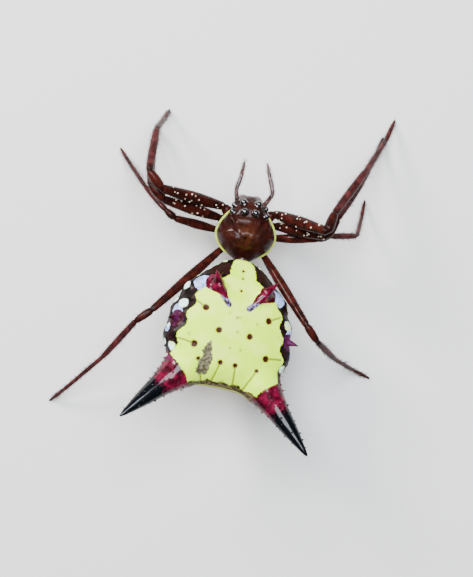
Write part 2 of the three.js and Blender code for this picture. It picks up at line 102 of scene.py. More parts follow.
def unit(v):
    """Vectors divided by their own lengths."""
    v = np.asarray(v, dtype=float)
    return v / np.linalg.norm(v, axis=-1, keepdims=True)


def new_object(name, data, place=None, turn=None):
    """An object in the scene. Where a place is given, in millimetres, it stands there with its axes
    turned by a 3 by 3 matrix."""
    made = bpy.data.objects.new(name, data)
    if place is not None:
        made.matrix_world = Matrix.Translation(Vector((ORIGIN + place) * MM)) @ Matrix(turn).to_4x4()
    bpy.context.scene.collection.objects.link(made)
    return made


back = np.array([math.sin(CAMERA_TILT), 0.0, math.cos(CAMERA_TILT)])
level_right = unit(np.cross([0.0, 1.0, 0.0], -back))
level_down = np.cross(-back, level_right)
picture_right = math.cos(CAMERA_ROLL) * level_right - math.sin(CAMERA_ROLL) * level_down
picture_up = -(math.sin(CAMERA_ROLL) * level_right + math.cos(CAMERA_ROLL) * level_down)
camera_axes = np.stack([picture_right, picture_up, back], axis=1).tolist()
lens = bpy.data.cameras.new("photo_camera")
lens.sensor_fit = "VERTICAL"
lens.sensor_height = SENSOR
lens.lens = FOCAL_PIXELS / PHOTO_HEIGHT * SENSOR
lens.clip_start = 2 * MM
lens.clip_end = 10.0
camera = new_object("photo_camera", lens, LOOK_AT + CAMERA_DISTANCE * back, camera_axes)
bpy.context.scene.camera = camera
print("lens:", round(lens.lens, 1), "mm")

# %% [markdown]
# A studio for something this small has small lamps close by. One wide soft panel overhead stands in
# for the open sky, which draws a pale line along each glossy leg and a bright patch on each eye. A
# smaller one at the side gives the body its shadows. The floor is plain and pale.

# %% Lights
# Each lamp's place and size in millimetres, its watts and its colour
LAMPS = {
    "sky_panel": ((14.0, -34.0, 150.0), 105.0, 0.70, (0.85, 0.92, 1.0)),
    "side_panel": ((90.0, -60.0, 70.0), 36.0, 0.22, (1.0, 0.97, 0.93)),
}
WORLD_COLOUR = (0.88, 0.92, 0.97, 1.0)
WORLD_STRENGTH = 0.12

for lamp_name, (lamp_place, lamp_size, watts, lamp_colour) in LAMPS.items():
    lamp = bpy.data.lights.new(lamp_name, "AREA")
    lamp.size = lamp_size * MM
    lamp.energy = watts
    lamp.color = lamp_colour
    aim = Vector(LOOK_AT - lamp_place).to_track_quat("-Z", "Y").to_matrix()
    new_object(lamp_name, lamp, lamp_place, aim)
world = bpy.data.worlds.new("studio")
world.use_nodes = True
background = world.node_tree.nodes["Background"]
background.inputs["Color"].default_value = WORLD_COLOUR
background.inputs["Strength"].default_value = WORLD_STRENGTH
bpy.context.scene.world = world
print("lamps:", ", ".join(LAMPS))

# %% [markdown]
# Finishes are written as Python expressions. Wire wraps one output of a shader node, so that
# 1 - mask adds a Math node by itself. Finish is a material being made: its node method makes any
# node from its type, its settings and what goes into its sockets.


# %% Shader helpers
class Wire:
    """An output of a shader node that can be added, subtracted and multiplied."""

    def __init__(self, finish, socket):
        self.finish = finish
        self.socket = socket

    def __add__(self, other):
        return self.finish.math("ADD", self, other)

    def __sub__(self, other):
        return self.finish.math("SUBTRACT", self, other)

    def __rsub__(self, other):
        return self.finish.math("SUBTRACT", other, self)

    def __mul__(self, other):
        return self.finish.math("MULTIPLY", self, other)

    __radd__ = __add__
    __rmul__ = __mul__


class Finish:
    """A material with one Principled shader, whose inputs are fed with values or Wires."""

    def __init__(self, name, **plain):
        self.material = bpy.data.materials.new(name)
        self.material.use_nodes = True
        self.tree = self.material.node_tree
        self.shader = self.tree.nodes["Principled BSDF"]
        for socket, value in plain.items():
            self.set(socket.replace("_", " "), value)

    def node(self, kind, settings=None, inputs=None, output=0):
        made = self.tree.nodes.new(kind)
        for name, value in (settings or {}).items():
            setattr(made, name, value)
        for name, value in (inputs or {}).items():
            self.feed(made.inputs[name], value)
        return Wire(self, made.outputs[output])

    def feed(self, socket, value):
        if isinstance(value, Wire):
            self.tree.links.new(value.socket, socket)
        else:
            socket.default_value = value

    def set(self, socket, value):
        self.feed(self.shader.inputs[socket], value)

    def math(self, operation, *values):
        return self.node("ShaderNodeMath", {"operation": operation}, dict(enumerate(values)))

    def step(self, value, low, high):
        """0 below low and 1 above high, with a soft change between them."""
        inputs = {"Value": value, "From Min": low, "From Max": high}
        return self.node("ShaderNodeMapRange", {"interpolation_type": "SMOOTHSTEP"}, inputs)

    def mix(self, share, a, b):
        """Colour a where share is 0 and colour b where it is 1."""
        return self.node("ShaderNodeMix", {"data_type": "RGBA"}, {0: share, 6: colour(a), 7: colour(b)}, 2)

    def noise(self, size, detail=3.0):
        """Cloudy values round 0.5, with lumps about size millimetres across."""
        metres = self.node("ShaderNodeTexCoord", output="Object")
        place = self.node("ShaderNodeVectorMath", {"operation": "SCALE"}, {0: metres, "Scale": 1 / MM})
        return self.node("ShaderNodeTexNoise", None, {"Vector": place, "Scale": 1 / size, "Detail": detail})

    def patches(self, size, low, high, a, b, detail=4.0):
        """Colours a and b in cloudy patches, about size millimetres across."""
        return self.mix(self.step(self.noise(size, detail), low, high), a, b)

    def attribute(self, name):
        """A number that is stored at each vertex of the piece."""
        return self.node("ShaderNodeAttribute", {"attribute_name": name}, output="Fac")

    def bump(self, height, strength, distance):
        """Raises the surface by height, in shares of distance millimetres."""
        inputs = {"Height": height, "Strength": strength, "Distance": distance * MM}
        self.set("Normal", self.node("ShaderNodeBump", None, inputs))


def colour(value):
    """An (r, g, b) as the four numbers that a colour socket wants, or a Wire as it is."""
    return value if isinstance(value, Wire) else (*value, 1.0)


def srgb(red, green, blue):
    """A colour read off a screen, 0 to 255, as the linear values that a shader wants."""
    screen = np.array([red, green, blue]) / 255
    linear = np.where(screen <= 0.04045, screen / 12.92, ((screen + 0.055) / 1.055) ** 2.4)
    return tuple(linear.tolist())


print("mid grey of a screen is", round(srgb(128, 128, 128)[0], 3), "in linear light")

# %% Floor
FLOOR_HALF = 250.0
FLOOR_SHADES = (srgb(222, 217, 212), srgb(230, 226, 221))
FLOOR_CLOUDS = 30.0

floor_finish = Finish("pale_floor", Roughness=0.85)
floor_finish.set("Base Color", floor_finish.mix(floor_finish.noise(FLOOR_CLOUDS), *FLOOR_SHADES))
corners = np.array([[-1, -1, 0], [1, -1, 0], [1, 1, 0], [-1, 1, 0]]) * FLOOR_HALF * MM
floor_mesh = bpy.data.meshes.new("floor")
floor_mesh.from_pydata(corners.tolist(), [], [[0, 1, 2, 3]])
floor_mesh.materials.append(floor_finish.material)
floor = new_object("floor", floor_mesh)
floor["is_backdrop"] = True
print("floor:", 2 * FLOOR_HALF, "mm wide")

# %% [markdown]
# Arthropod skin is a hard varnished shell. Under the varnish it is stained rather than painted, so
# each finish mixes two or three stains by soft noise, keeps the roughness low, and breaks the shine
# with a fine bump. The coat is thin, because a thick one shows the pale floor along every edge.

# %% Finishes of the shell and the limbs
# Dark and light stain, roughness and coat of the parts with no pattern of their own
PLAIN_FINISHES = {
    "mound_shell": ((14, 5, 4), (40, 14, 9), 0.08, 1.0),
    "pale_rim": ((164, 182, 40), (208, 216, 96), 0.35, 0.1),
    "eye_glass": ((5, 4, 6), (10, 8, 12), 0.18, 1.0),
    "feeler_horn": ((30, 13, 11), (88, 58, 56), 0.15, 0.4),
    "bristle_horn": ((24, 11, 9), (66, 40, 34), 0.3, 0.1),
    # The thigh warts' pale stain is a painted highlight, standing in for their glints
    "pale_horn": ((150, 120, 96), (226, 212, 190), 0.1, 0.6),
    "pale_down": ((140, 130, 128), (200, 192, 190), 0.35, 0.3),
    "jaw_shell": ((32, 12, 9), (68, 25, 16), 0.3, 0.05),
    "soft_skin": ((36, 20, 16), (74, 44, 34), 0.4, 0.3),
}


def plain_finish(name, dark, light, roughness, coat):
    """A stained glossy part with no pattern of its own."""
    finish = Finish(name, Coat_Weight=coat, Specular_IOR_Level=0.25)
    finish.set("Base Color", finish.patches(0.2, 0.3, 0.7, srgb(*dark), srgb(*light)))
    finish.set("Roughness", finish.noise(0.1) * 0.15 + roughness)
    finish.bump(finish.noise(0.05, 2.0), 0.25, 0.01)
    return finish


def shell_finish():
    """The carapace: dark mahogany, browner and lighter over the middle, where glow is stored."""
    finish = Finish("mahogany_shell", Coat_Weight=0.14, Coat_Roughness=0.08, Specular_IOR_Level=0.04)
    stain = finish.patches(0.5, 0.3, 0.7, srgb(28, 10, 7), srgb(50, 17, 11))
    lit = finish.attribute("glow") * finish.step(finish.noise(0.16, 4.0), 0.35, 0.6)
    finish.set("Base Color", finish.mix(lit, stain, srgb(68, 36, 20)))
    finish.set("Roughness", finish.noise(0.12) * 0.3 + 0.15)
    finish.bump(finish.noise(0.07, 2.0) + finish.noise(0.22, 2.0) * 1.5, 0.8, 0.04)
    return finish


def limb_finish():
    """The legs: red-brown varnish, nearly black at the joints and redder on the shins."""
    finish = Finish("limb_varnish", Coat_Weight=0.08, Coat_Roughness=0.1, Specular_IOR_Level=0.04)
    redness = finish.attribute("redness")
    dark = finish.mix(redness, srgb(28, 9, 7), srgb(44, 17, 16))
    light = finish.mix(redness, srgb(62, 21, 15), srgb(84, 36, 36))
    stain = finish.patches(0.35, 0.35, 0.7, dark, light)
    finish.set("Base Color", finish.mix(finish.attribute("joint") * 0.8, stain, srgb(20, 6, 5)))
    finish.set("Roughness", finish.noise(0.1) * 0.25 + 0.1)
    finish.bump(finish.noise(0.045, 2.0), 0.4, 0.015)
    return finish


finishes = {name: plain_finish(name, *values) for name, values in PLAIN_FINISHES.items()}
finishes["eye_glass"].set("IOR", 1.55)
finishes["eye_glass"].set("Specular IOR Level", 0.5)
finishes["mahogany_shell"] = shell_finish()
finishes["limb_varnish"] = limb_finish()
print("finishes:", ", ".join(finishes))

# %% [markdown]
# All skins are grids: rows of points along a body or a limb, and columns round it. One helper turns
# a grid whose ends are single points into faces, and one turns points and faces into a piece that
# rides on the frame. A mesh is passed on as a pair, its points and its faces.

# %% Mesh helpers
DOME_FOOT = -0.5  # a dome's lowest ring, in radians from its widest


def closed_grid(rings, sides):
    """Faces of a closed skin. Points are ordered ring by ring, then the first pole and the last."""
    ring = np.arange(rings - 1)[:, None] * sides
    flat = np.arange(sides)
    ahead = (flat + 1) % sides
    quads = np.stack([ring + flat, ring + ahead, ring + sides + ahead, ring + sides + flat], axis=-1)
    first_pole = rings * sides
    last_ring = (rings - 1) * sides
    start = np.stack([np.full(sides, first_pole), ahead, flat], axis=-1)
    end = np.stack([np.full(sides, first_pole + 1), last_ring + flat, last_ring + ahead], axis=-1)
    return quads.reshape(-1, 4).tolist() + start.tolist() + end.tolist()


def new_piece(name, mesh_pair, finish, replaced=(), values=None):
    """A smooth mesh object from points in millimetres from the body's origin, and its faces."""
    points, faces = mesh_pair
    mesh = bpy.data.meshes.new(name)
    mesh.from_pydata(((points + ORIGIN) * MM).tolist(), [], faces)
    mesh.shade_smooth()
    for key, numbers in (values or {}).items():
        mesh.attributes.new(key, "FLOAT", "POINT").data.foreach_set("value", numbers.astype(np.float32))
    mesh.materials.append(finishes[finish].material)
    piece = new_object(name, mesh)
    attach(piece, "root")
    if replaced:
        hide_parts(*replaced)
    print(f"{name}: {len(points)} points, {len(faces)} faces")
    return piece


def join_meshes(parts):
    """One list of points and one of faces from several (points, faces) pairs."""
    faces = []
    start = 0
    for part_points, part_faces in parts:
        faces += [[start + i for i in face] for face in part_faces]
        start += len(part_points)
    return np.vstack([part_points for part_points, _ in parts]), faces


def ring_angles(sides):
    """Even angles once round a ring."""
    return np.linspace(0, 2 * math.pi, sides, endpoint=False)


def circles(side, up, sides, flatten=1.0):
    """Rings of unit size: cosine times side plus flatten times sine times up, for each direction."""
    angle = ring_angles(sides)[:, None]
    return np.cos(angle) * side[..., None, :] + flatten * np.sin(angle) * up[..., None, :]


def bead(place, normal, radius, height, rings=14, sides=28):
    """A dome on a place: radius times the cosine across, height times the sine along its normal."""
    turn_up = np.linspace(DOME_FOOT, math.pi / 2, rings + 1)[:-1]
    path = place + np.outer(np.sin(turn_up) * height, normal)
    side = unit(np.cross(normal, [0.0, 1.0, 0.001]))
    ring = circles(side, np.cross(normal, side), sides)
    skin = path[:, None, :] + (radius * np.cos(turn_up))[:, None, None] * ring
    poles = np.array([path[0], place + normal * height])
    return np.vstack([skin.reshape(-1, 3), poles]), closed_grid(rings, sides)


print("a dome of 4 rings of 10 has", len(closed_grid(4, 10)), "faces")

# %% [markdown]
# Living forms have few straight lines, so sizes along a body are given at a few stations and read
# off a smooth curve. A tube follows a path, and a body is a row of superellipse rings, which are
# rounder than a box and fuller than a ball.

# %% Curves, tubes and bodies
TUBE_CAP = 0.4  # how far a tube's poles lie beyond its ends, in radii
BLUNTNESS = 0.275


def curve_through(stations, at):
    """A smooth value at each place, through (place, value) stations.

    Between two stations it is a cubic whose slopes are those of the neighbouring stations.
    """
    x, y = np.array(stations, dtype=float).T
    slope = np.gradient(y, x)
    at = np.clip(at, x[0], x[-1])
    i = np.clip(np.searchsorted(x, at) - 1, 0, len(x) - 2)
    gap = x[i + 1] - x[i]
    t = (at - x[i]) / gap
    rise = y[i] * (2 * t**3 - 3 * t**2 + 1) + y[i + 1] * (3 * t**2 - 2 * t**3)
    return rise + gap * (slope[i] * (t**3 - 2 * t**2 + t) + slope[i + 1] * (t**3 - t**2))


def soft_step(x, low, high):
    """0 below low, 1 above high and smooth between, for whole arrays."""
    t = np.clip((x - low) / (high - low), 0, 1)
    return t * t * (3 - 2 * t)


def bell(x, width):
    """e to the power of minus (x over width) squared."""
    return np.exp(-((x / width) ** 2))


def swept_tube(path, radii, sides, reference=(0.0, 0.0, 1.0), flatten=1.0):
    """Points of a tube: each ring is a circle of its radius round a path point, square to the path.

    The ring's side direction is the path's direction crossed with a fixed reference. Both ends
    close in a pole, a part of a radius beyond the path's end.
    """
    ahead = unit(np.gradient(path, axis=0))
    side = unit(np.cross(ahead, np.array(reference)))
    up = np.cross(side, ahead)
    skin = path[:, None, :] + np.asarray(radii)[:, None, None] * circles(side, up, sides, flatten)
    poles = [path[0] - ahead[0] * radii[0] * TUBE_CAP, path[-1] + ahead[-1] * radii[-1] * TUBE_CAP]
    return np.vstack([skin.reshape(-1, 3), poles]), side, up, ahead


def tube(path, radii, sides, **shape):
    """A swept tube as a mesh."""
    return swept_tube(path, radii, sides, **shape)[0], closed_grid(len(path), sides)


def fullness(lengthwise):
    """The share of its width that a body keeps, at places from -1 to 1 along it: 1 minus the place
    squared, raised to the bluntness."""
    return (1 - lengthwise**2) ** BLUNTNESS


def lengthwise_at(y, ends):
    """Places along a body with those ends, as numbers from -1 to 1."""
    return (2 * y - ends[0] - ends[1]) / (ends[1] - ends[0])


def ringed_body(ends, widths, tops, bottoms, base, powers, rings, sides):
    """Grids of x, y and z of rings along a body, closer together near its blunt ends.

    Across a ring, x is the half width times a power of the cosine, and z is base plus the rise or
    the drop times a power of the sine. The upper half has one power and the lower half another.
    """
    lengthwise = -np.cos(np.linspace(0, math.pi, rings + 2)[1:-1])
    y = (ends[0] + ends[1]) / 2 + (ends[1] - ends[0]) / 2 * lengthwise
    angle = ring_angles(sides)
    power = np.where(np.sin(angle) >= 0, *powers)
    across = np.sign(np.cos(angle)) * np.abs(np.cos(angle)) ** power
    upright = np.sign(np.sin(angle)) * np.abs(np.sin(angle)) ** power
    full = fullness(lengthwise)
    x = (curve_through(widths, y) * full)[:, None] * across
    rise = (curve_through(tops, y) - base) * full
    drop = (base - curve_through(bottoms, y)) * full
    z = base + np.where(upright >= 0, rise[:, None], drop[:, None]) * upright
    return x, np.broadcast_to(y[:, None], x.shape), z


def closed_body(x, y, z, first_pole, last_pole):
    """The grids of a body and its poles as a mesh."""
    points = np.stack([x, y, z], axis=-1).reshape(-1, 3)
    return np.vstack([points, [first_pole, last_pole]]), closed_grid(*x.shape)


print("halfway to its end a body keeps", round(fullness(0.5), 3), "of its width")

# %% [markdown]
# The front half of a spider is a shield over a flat breastplate. From above it is pear-shaped: a
# narrow head, then a round thorax with a small pit where the stomach's muscles hold on. The pit and
# the furrows are pressed in after the plain form is made.

# %% Carapace
CARAPACE_ENDS = (-1.38, 1.27)
MARGIN_HEIGHT = 2.3
BREAST_HEIGHT = 1.6
UPPER_POWER = 0.85
LOWER_POWER = 0.7
WIDTHS = [(-1.38, 0.44), (-1.1, 0.66), (-0.65, 0.84), (-0.15, 1.09)]
WIDTHS += [(0.25, 1.18), (0.8, 0.99), (1.27, 0.42)]
TOPS = [(-1.38, 2.78), (-1.0, 3.08), (-0.6, 3.1), (-0.35, 3.05)]
TOPS += [(0.15, 3.3), (0.7, 3.16), (1.27, 2.6)]
PIT_AT = 0.42
PIT_RAYS = 8


def plain_carapace():
    """Superellipse rings from head to rear."""
    breast = [(end, BREAST_HEIGHT) for end in CARAPACE_ENDS]
    powers = (UPPER_POWER, LOWER_POWER)
    grids = ringed_body(CARAPACE_ENDS, WIDTHS, TOPS, breast, MARGIN_HEIGHT, powers, 150, 180)
    return closed_body(*grids, *([0, end, MARGIN_HEIGHT] for end in CARAPACE_ENDS))


def carve_carapace(points):
    """Presses in the pit, the furrows beside the head and the band under the rim, and raises rays
    round the pit and a lip. Each is a bell-shaped push along z or towards the middle."""
    x, y, z = points.T
    beyond_pit = np.hypot(x, y - PIT_AT)
    pit = bell(x, 0.1) * bell(y - PIT_AT, 0.2)
    rays = np.cos(np.arctan2(x, y - PIT_AT) * PIT_RAYS) * bell(beyond_pit - 0.62, 0.3)
    furrow_x = 0.24 + 0.55 * (0.35 - y)
    furrow = bell(np.abs(x) - furrow_x, 0.09) * soft_step(y, -0.8, -0.3) * soft_step(-y, -0.35, 0.0)
    upper = soft_step(z, MARGIN_HEIGHT + 0.08, MARGIN_HEIGHT + 0.4)
    push_up = upper * (-0.13 * pit - 0.07 * furrow + 0.018 * rays)
    band = 1 - 0.055 * bell(z - MARGIN_HEIGHT + 0.12, 0.06)
    lip = 1 + 0.02 * bell(z - MARGIN_HEIGHT - 0.01, 0.05)
    return np.stack([x * band * lip, y * band * lip, z + push_up], axis=1)


def skin_height(x, y):
    """Height of the carapace over one place of the plan, by the same formula as its rings."""
    full = fullness(lengthwise_at(y, CARAPACE_ENDS))
    share = min(1.0, abs(x) / (curve_through(WIDTHS, y) * full)) ** (1 / UPPER_POWER)
    rise = (curve_through(TOPS, y) - MARGIN_HEIGHT) * full
    return MARGIN_HEIGHT + rise * math.sqrt(max(0.0, 1 - share * share)) ** UPPER_POWER


shield, shield_faces = plain_carapace()
shield = carve_carapace(shield)
glow = bell(shield[:, 0], 0.34) * bell(shield[:, 1] - 0.12, 0.4) * soft_step(shield[:, 2], 2.8, 3.1)
shield_mesh = (shield, shield_faces)
solids = ["cephalothorax"]
new_piece("carapace_and_breast", shield_mesh, "mahogany_shell", solids, {"glow": glow})

# %% [markdown]
# A pale rim runs along each side of the thorax, like piping on a cushion. It is a thin flattened
# tube that follows the shield's widest line and thins out at both ends.

# %% Pale rim of the carapace
RIM_FROM = -0.82
RIM_TO = 1.08
RIM_RADIUS = 0.075
RIM_STEPS = 90
RIM_SIDES = 16


def rim_tube(side):
    """A tube along x = width(y) times fullness(y), at the margin's height, thin at both ends."""
    y = np.linspace(RIM_FROM, RIM_TO, RIM_STEPS)
    x = side * curve_through(WIDTHS, y) * fullness(lengthwise_at(y, CARAPACE_ENDS))
    path = np.stack([x, y, np.full_like(y, MARGIN_HEIGHT + 0.01)], axis=-1)
    t = np.linspace(0, 1, RIM_STEPS)
    radii = RIM_RADIUS * (0.15 + 0.85 * soft_step(t, 0, 0.12) * soft_step(1 - t, 0, 0.12))
    return tube(path, radii, RIM_SIDES, flatten=0.8)


new_piece("carapace_rim", join_meshes([rim_tube(side) for side in (1, -1)]), "pale_rim")

# %% [markdown]
# Eight simple eyes sit on low mounds at the front of the head. They look like beads of black glass,
# so each is a smooth cap of many rings on a mound, and its shine comes from a full clear coat.

# %% Eyes
SIDES = {"left": 1, "right": -1}
# Places and radii on the left side
EYES = {
    "front_median": (0.29, -1.08, 0.12),
    "rear_median": (0.22, -0.72, 0.12),
    "front_lateral": (0.60, -0.94, 0.10),
    "rear_lateral": (0.66, -0.66, 0.10),
}
SLOPE_STEP = 0.02


def skin_normal(x, y):
    """Upward direction square to the carapace at one place of the plan."""
    slope_x = (skin_height(x + SLOPE_STEP, y) - skin_height(x - SLOPE_STEP, y)) / (2 * SLOPE_STEP)
    slope_y = (skin_height(x, y + SLOPE_STEP) - skin_height(x, y - SLOPE_STEP)) / (2 * SLOPE_STEP)
    return unit(np.array([-slope_x, -slope_y, 1.0]))


mounds = []
for eye_name, (eye_x, eye_y, eye_radius) in EYES.items():
    for side_name, side in SIDES.items():
        normal = skin_normal(eye_x * side, eye_y)
        seat = np.array([eye_x * side, eye_y, skin_height(eye_x * side, eye_y)])
        mounds.append(bead(seat - normal * 0.05, normal, eye_radius * 1.6, 0.14))
        lens_cap = bead(seat + normal * 0.06, normal, eye_radius * 1.15, eye_radius)
        eye = f"{eye_name}_{side_name}"
        new_piece(f"lens_{eye}", lens_cap, "eye_glass", [f"eye_{eye}"])
new_piece("eye_mounds", join_meshes(mounds), "mound_shell")

# %% [markdown]
# Hairs are the smallest things here. Each is a thin bent cone of three sides. All hairs of a limb
# are worked out together as arrays, and every hair gets a tiny patch of its own on a map called
# OFBake, at its root's place on the unrolled skin, so that its colour can be baked.

# %% Bristle helpers
BRISTLE_RINGS = 3
BRISTLE_SIDES = 3
PATCH = 0.003  # share of the map's width that one hair takes


def bristle_faces(count, each):
    """Faces of count hairs of so many points each: rows of quads, and triangles to the point."""
    flat = np.arange(BRISTLE_SIDES)
    ahead = (flat + 1) % BRISTLE_SIDES
    quads = np.stack([flat, ahead, ahead + BRISTLE_SIDES, flat + BRISTLE_SIDES], axis=-1)
    last = BRISTLE_SIDES * (BRISTLE_RINGS - 1)
    quads = np.vstack([quads + start for start in range(0, last, BRISTLE_SIDES)])
    tips = np.stack([flat + last, ahead + last, np.full(BRISTLE_SIDES, each - 1)], axis=-1)
    starts = np.arange(count)[:, None, None] * each
    return (starts + quads).reshape(-1, 4).tolist() + (starts + tips).reshape(-1, 3).tolist()


def bristles(name, roots, normals, leans, lengths, radius, finish, slot, root_uv):
    """Bent cones: each ring's middle is root + length t (normal (1 - t/2) + lean (0.35 + 0.65 t)),
    for t from 0 to 1, and its radius shrinks with t to a point."""
    t = np.linspace(0, 1, BRISTLE_RINGS + 1)[:, None]
    bend = normals[:, None, :] * (1 - 0.5 * t) + leans[:, None, :] * (0.35 + 0.65 * t)
    middle = roots[:, None, :] + lengths[:, None, None] * t * bend
    side = unit(np.cross(normals, leans + 1e-4))
    other = unit(np.cross(side, unit(normals + leans)))
    thickness = (radius * (1 - t[:-1]) ** 0.7)[:, None, :]
    body = middle[:, :-1, None, :] + thickness * circles(side, other, BRISTLE_SIDES)[:, None, :, :]
    points = np.concatenate([body.reshape(len(roots), -1, 3), middle[:, -1:, :]], axis=1)
    each = points.shape[1]
    mesh_pair = (points.reshape(-1, 3), bristle_faces(len(roots), each))
    piece = new_piece(name, mesh_pair, finish)
    corner_point = np.empty(len(piece.data.loops), dtype=np.int32)
    piece.data.loops.foreach_get("vertex_index", corner_point)
    within = (corner_point % each) / each * 2 * math.pi
    uv = root_uv[corner_point // each] + PATCH / 2 * np.stack([np.cos(within), np.sin(within)], axis=-1)
    layer = piece.data.uv_layers.new(name="OFBake")
    layer.data.foreach_set("uv", np.clip(uv, 0, 1).astype(np.float32).ravel())


print("faces of one hair:", len(bristle_faces(1, BRISTLE_RINGS * BRISTLE_SIDES + 1)))

# %% [markdown]
# A leg has seven pieces: hip, ring, thigh, knee, shin, and two foot pieces. The frame's solids
# follow a length, a bearing and a rise for each piece past the ring, and the same values are used
# here, so a skin always lies where its solids lie. The last rise is worked out, so that the foot
# reaches the floor. The skin is one tube from hip to claw, whose path is rounded a little at each
# joint and whose radius swells in each piece and pinches in between them.

# %% Leg joints
# Roots of the left side's thighs
LEG_ROOTS = {"1": (1.02, -0.84, 2.2), "2": (1.13, -0.38, 2.0)}
LEG_ROOTS.update({"3": (1.14, 0.12, 1.88), "4": (0.84, 0.84, 1.9)})
# Lengths, bearings and rises from the thigh on, in millimetres and degrees
LEG_PIECES = {
    "left_1": ((3.3, 0.85, 2.3, 2.0, 0.9), (-6, -46, -93, -117, -114), (36, 10, -41, -70)),
    "left_2": ((2.9, 0.8, 2.2, 1.5, 0.7), (-8, -40, -87, -96, -92), (34, 7, -52, -58)),
    "left_3": ((1.97, 0.5, 1.5, 1.6, 1.0), (-6, -33, -42, -51, -52), (25, 6, -32, -49)),
    "left_4": ((3.95, 0.78, 2.2, 2.5, 0.9), (49, 43, 57, 50, 48), (18, -5, -27, -34)),
    "right_1": ((2.97, 0.86, 2.65, 2.4, 1.2), (168, -105, -121, -120, -110), (46, -24, -33, -47)),
    "right_2": ((2.5, 0.84, 2.45, 1.9, 0.85), (176, -112, -119, -115, -106), (36, -10, -37, -46)),
    "right_3": ((1.9, 0.52, 1.46, 1.52, 0.88), (-173, -158, -171, -106, -97), (25, 5, -36, -58)),
    "right_4": ((3.75, 0.8, 2.1, 1.95, 0.75), (128, 132, 148, 160, 162), (31, -10, -56, -56)),
}
HIP_HEIGHT = 1.95
SOLID_TIP_HEIGHT = 0.1
SOLE_HEIGHT = 0.035  # a little under the tip's radius, so that each foot has a small flat


def heading(bearing, rise):
    """Unit vector: bearing from +x towards +y and rise above the horizon, both in degrees."""
    b, r = math.radians(bearing), math.radians(rise)
    return np.array([math.cos(r) * math.cos(b), math.cos(r) * math.sin(b), math.sin(r)])


def leg_joints(leg):
    """Hip, thigh root, knee start, knee end, ankle, foot joint and foot tip, in that order."""
    side_name, number = leg.split("_")
    root = np.array(LEG_ROOTS[number]) * [SIDES[side_name], 1, 1]
    corners = [np.array([root[0] * 0.45, root[1] * 0.45 + 0.05, HIP_HEIGHT]), root]
    lengths, bearings, rises = LEG_PIECES[leg]
    for length, bearing, rise in zip(lengths, bearings, rises):
        corners.append(corners[-1] + length * heading(bearing, rise))
    last_rise = -math.degrees(math.asin((corners[-1][2] - SOLID_TIP_HEIGHT) / lengths[-1]))
    corners.append(corners[-1] + lengths[-1] * heading(bearings[-1], last_rise))
    corners[-1][2] = SOLE_HEIGHT
    return np.array(corners)


joints = {leg: leg_joints(leg) for leg in LEG_PIECES}
for leg in joints:
    low, high = (np.array(corner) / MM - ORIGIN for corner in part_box(f"leg_{leg}_tarsus"))
    reach = np.maximum(low - joints[leg][-1], joints[leg][-1] - high).max()
    print(f"foot {leg}: {max(reach, 0):.2f} mm outside its solid's box")

# %% Leg skins
LIMB_STEP = 0.035
LIMB_SIDES = 28
PATH_ROUNDING = 0.22
# Radius at shares of each piece's length: hip, thigh, knee, shin, and the two foot pieces
SWELLING = [
    [0.26, 0.28, 0.27, 0.20, 0.17],
    [0.15, 0.21, 0.235, 0.20, 0.165],
    [0.165, 0.185, 0.19, 0.17, 0.15],
    [0.13, 0.15, 0.155, 0.145, 0.12],
    [0.105, 0.105, 0.10, 0.095, 0.09],
    [0.085, 0.09, 0.085, 0.07, 0.05],
]
SLENDER = {"1": 1.08, "2": 1.02, "3": 0.82, "4": 0.86}
LEG_BONES = ("femur", "patella", "tibia", "metatarsus", "tarsus")


def limb_path(corners):
    """Even steps along the corners, averaged with a bell-shaped window so that bends are round."""
    lengths = np.linalg.norm(np.diff(corners, axis=0), axis=1)
    marks = np.concatenate([[0], np.cumsum(lengths)])
    along = np.linspace(0, marks[-1], int(marks[-1] / LIMB_STEP))
    straight = np.stack([np.interp(along, marks, corners[:, k]) for k in range(3)], axis=1)
    reach = int(PATH_ROUNDING / LIMB_STEP * 1.5)
    window = bell(np.arange(-reach, reach + 1) * LIMB_STEP, PATH_ROUNDING / 1.4)
    window /= window.sum()
    ahead = straight[-1] + (straight[-1] - straight[-2]) * np.arange(1, reach + 1)[:, None]
    behind = straight[0] + (straight[0] - straight[1]) * np.arange(reach, 0, -1)[:, None]
    padded = np.vstack([behind, straight, ahead])
    smooth = np.stack([np.convolve(padded[:, k], window, "valid") for k in range(3)], axis=1)
    return smooth, along, marks


def leg_radius(along, marks):
    """Each piece's own swelling, one after the other."""
    radius = np.zeros_like(along)
    for i, swelling in enumerate(SWELLING):
        inside = (along >= marks[i]) & (along <= marks[i + 1] + 1e-9)
        share = (along[inside] - marks[i]) / (marks[i + 1] - marks[i])
        radius[inside] = curve_through(list(zip(np.linspace(0, 1, len(swelling)), swelling)), share)
    return radius


class Limb:
    """A tube along some corners, pinched in at its joints, with what the hairs on it need to know."""

    def __init__(self, corners, radius_rule, first_pinch, pinch_width, pinch_depth, scale=1.0):
        self.path, self.along, self.marks = limb_path(corners)
        from_joints = np.abs(self.along[:, None] - self.marks[first_pinch:-1])
        self.pinch = bell(np.min(from_joints, axis=1), pinch_width)
        self.radius = radius_rule(self.along, self.marks) * scale * (1 - pinch_depth * self.pinch)
        self.skin, self.side, self.up, self.ahead = swept_tube(self.path, self.radius, LIMB_SIDES)

    def mesh(self):
        return self.skin, closed_grid(len(self.path), LIMB_SIDES)

    def at(self, places, values):
        """Rows of values, read off at places along the limb."""
        return np.stack([np.interp(places, self.along, values[:, k]) for k in range(3)], axis=1)


def per_point(along_path):
    """A value per ring as a value per point of a limb's skin, poles included."""
    return np.concatenate([np.repeat(along_path, LIMB_SIDES), [along_path[0], along_path[-1]]])


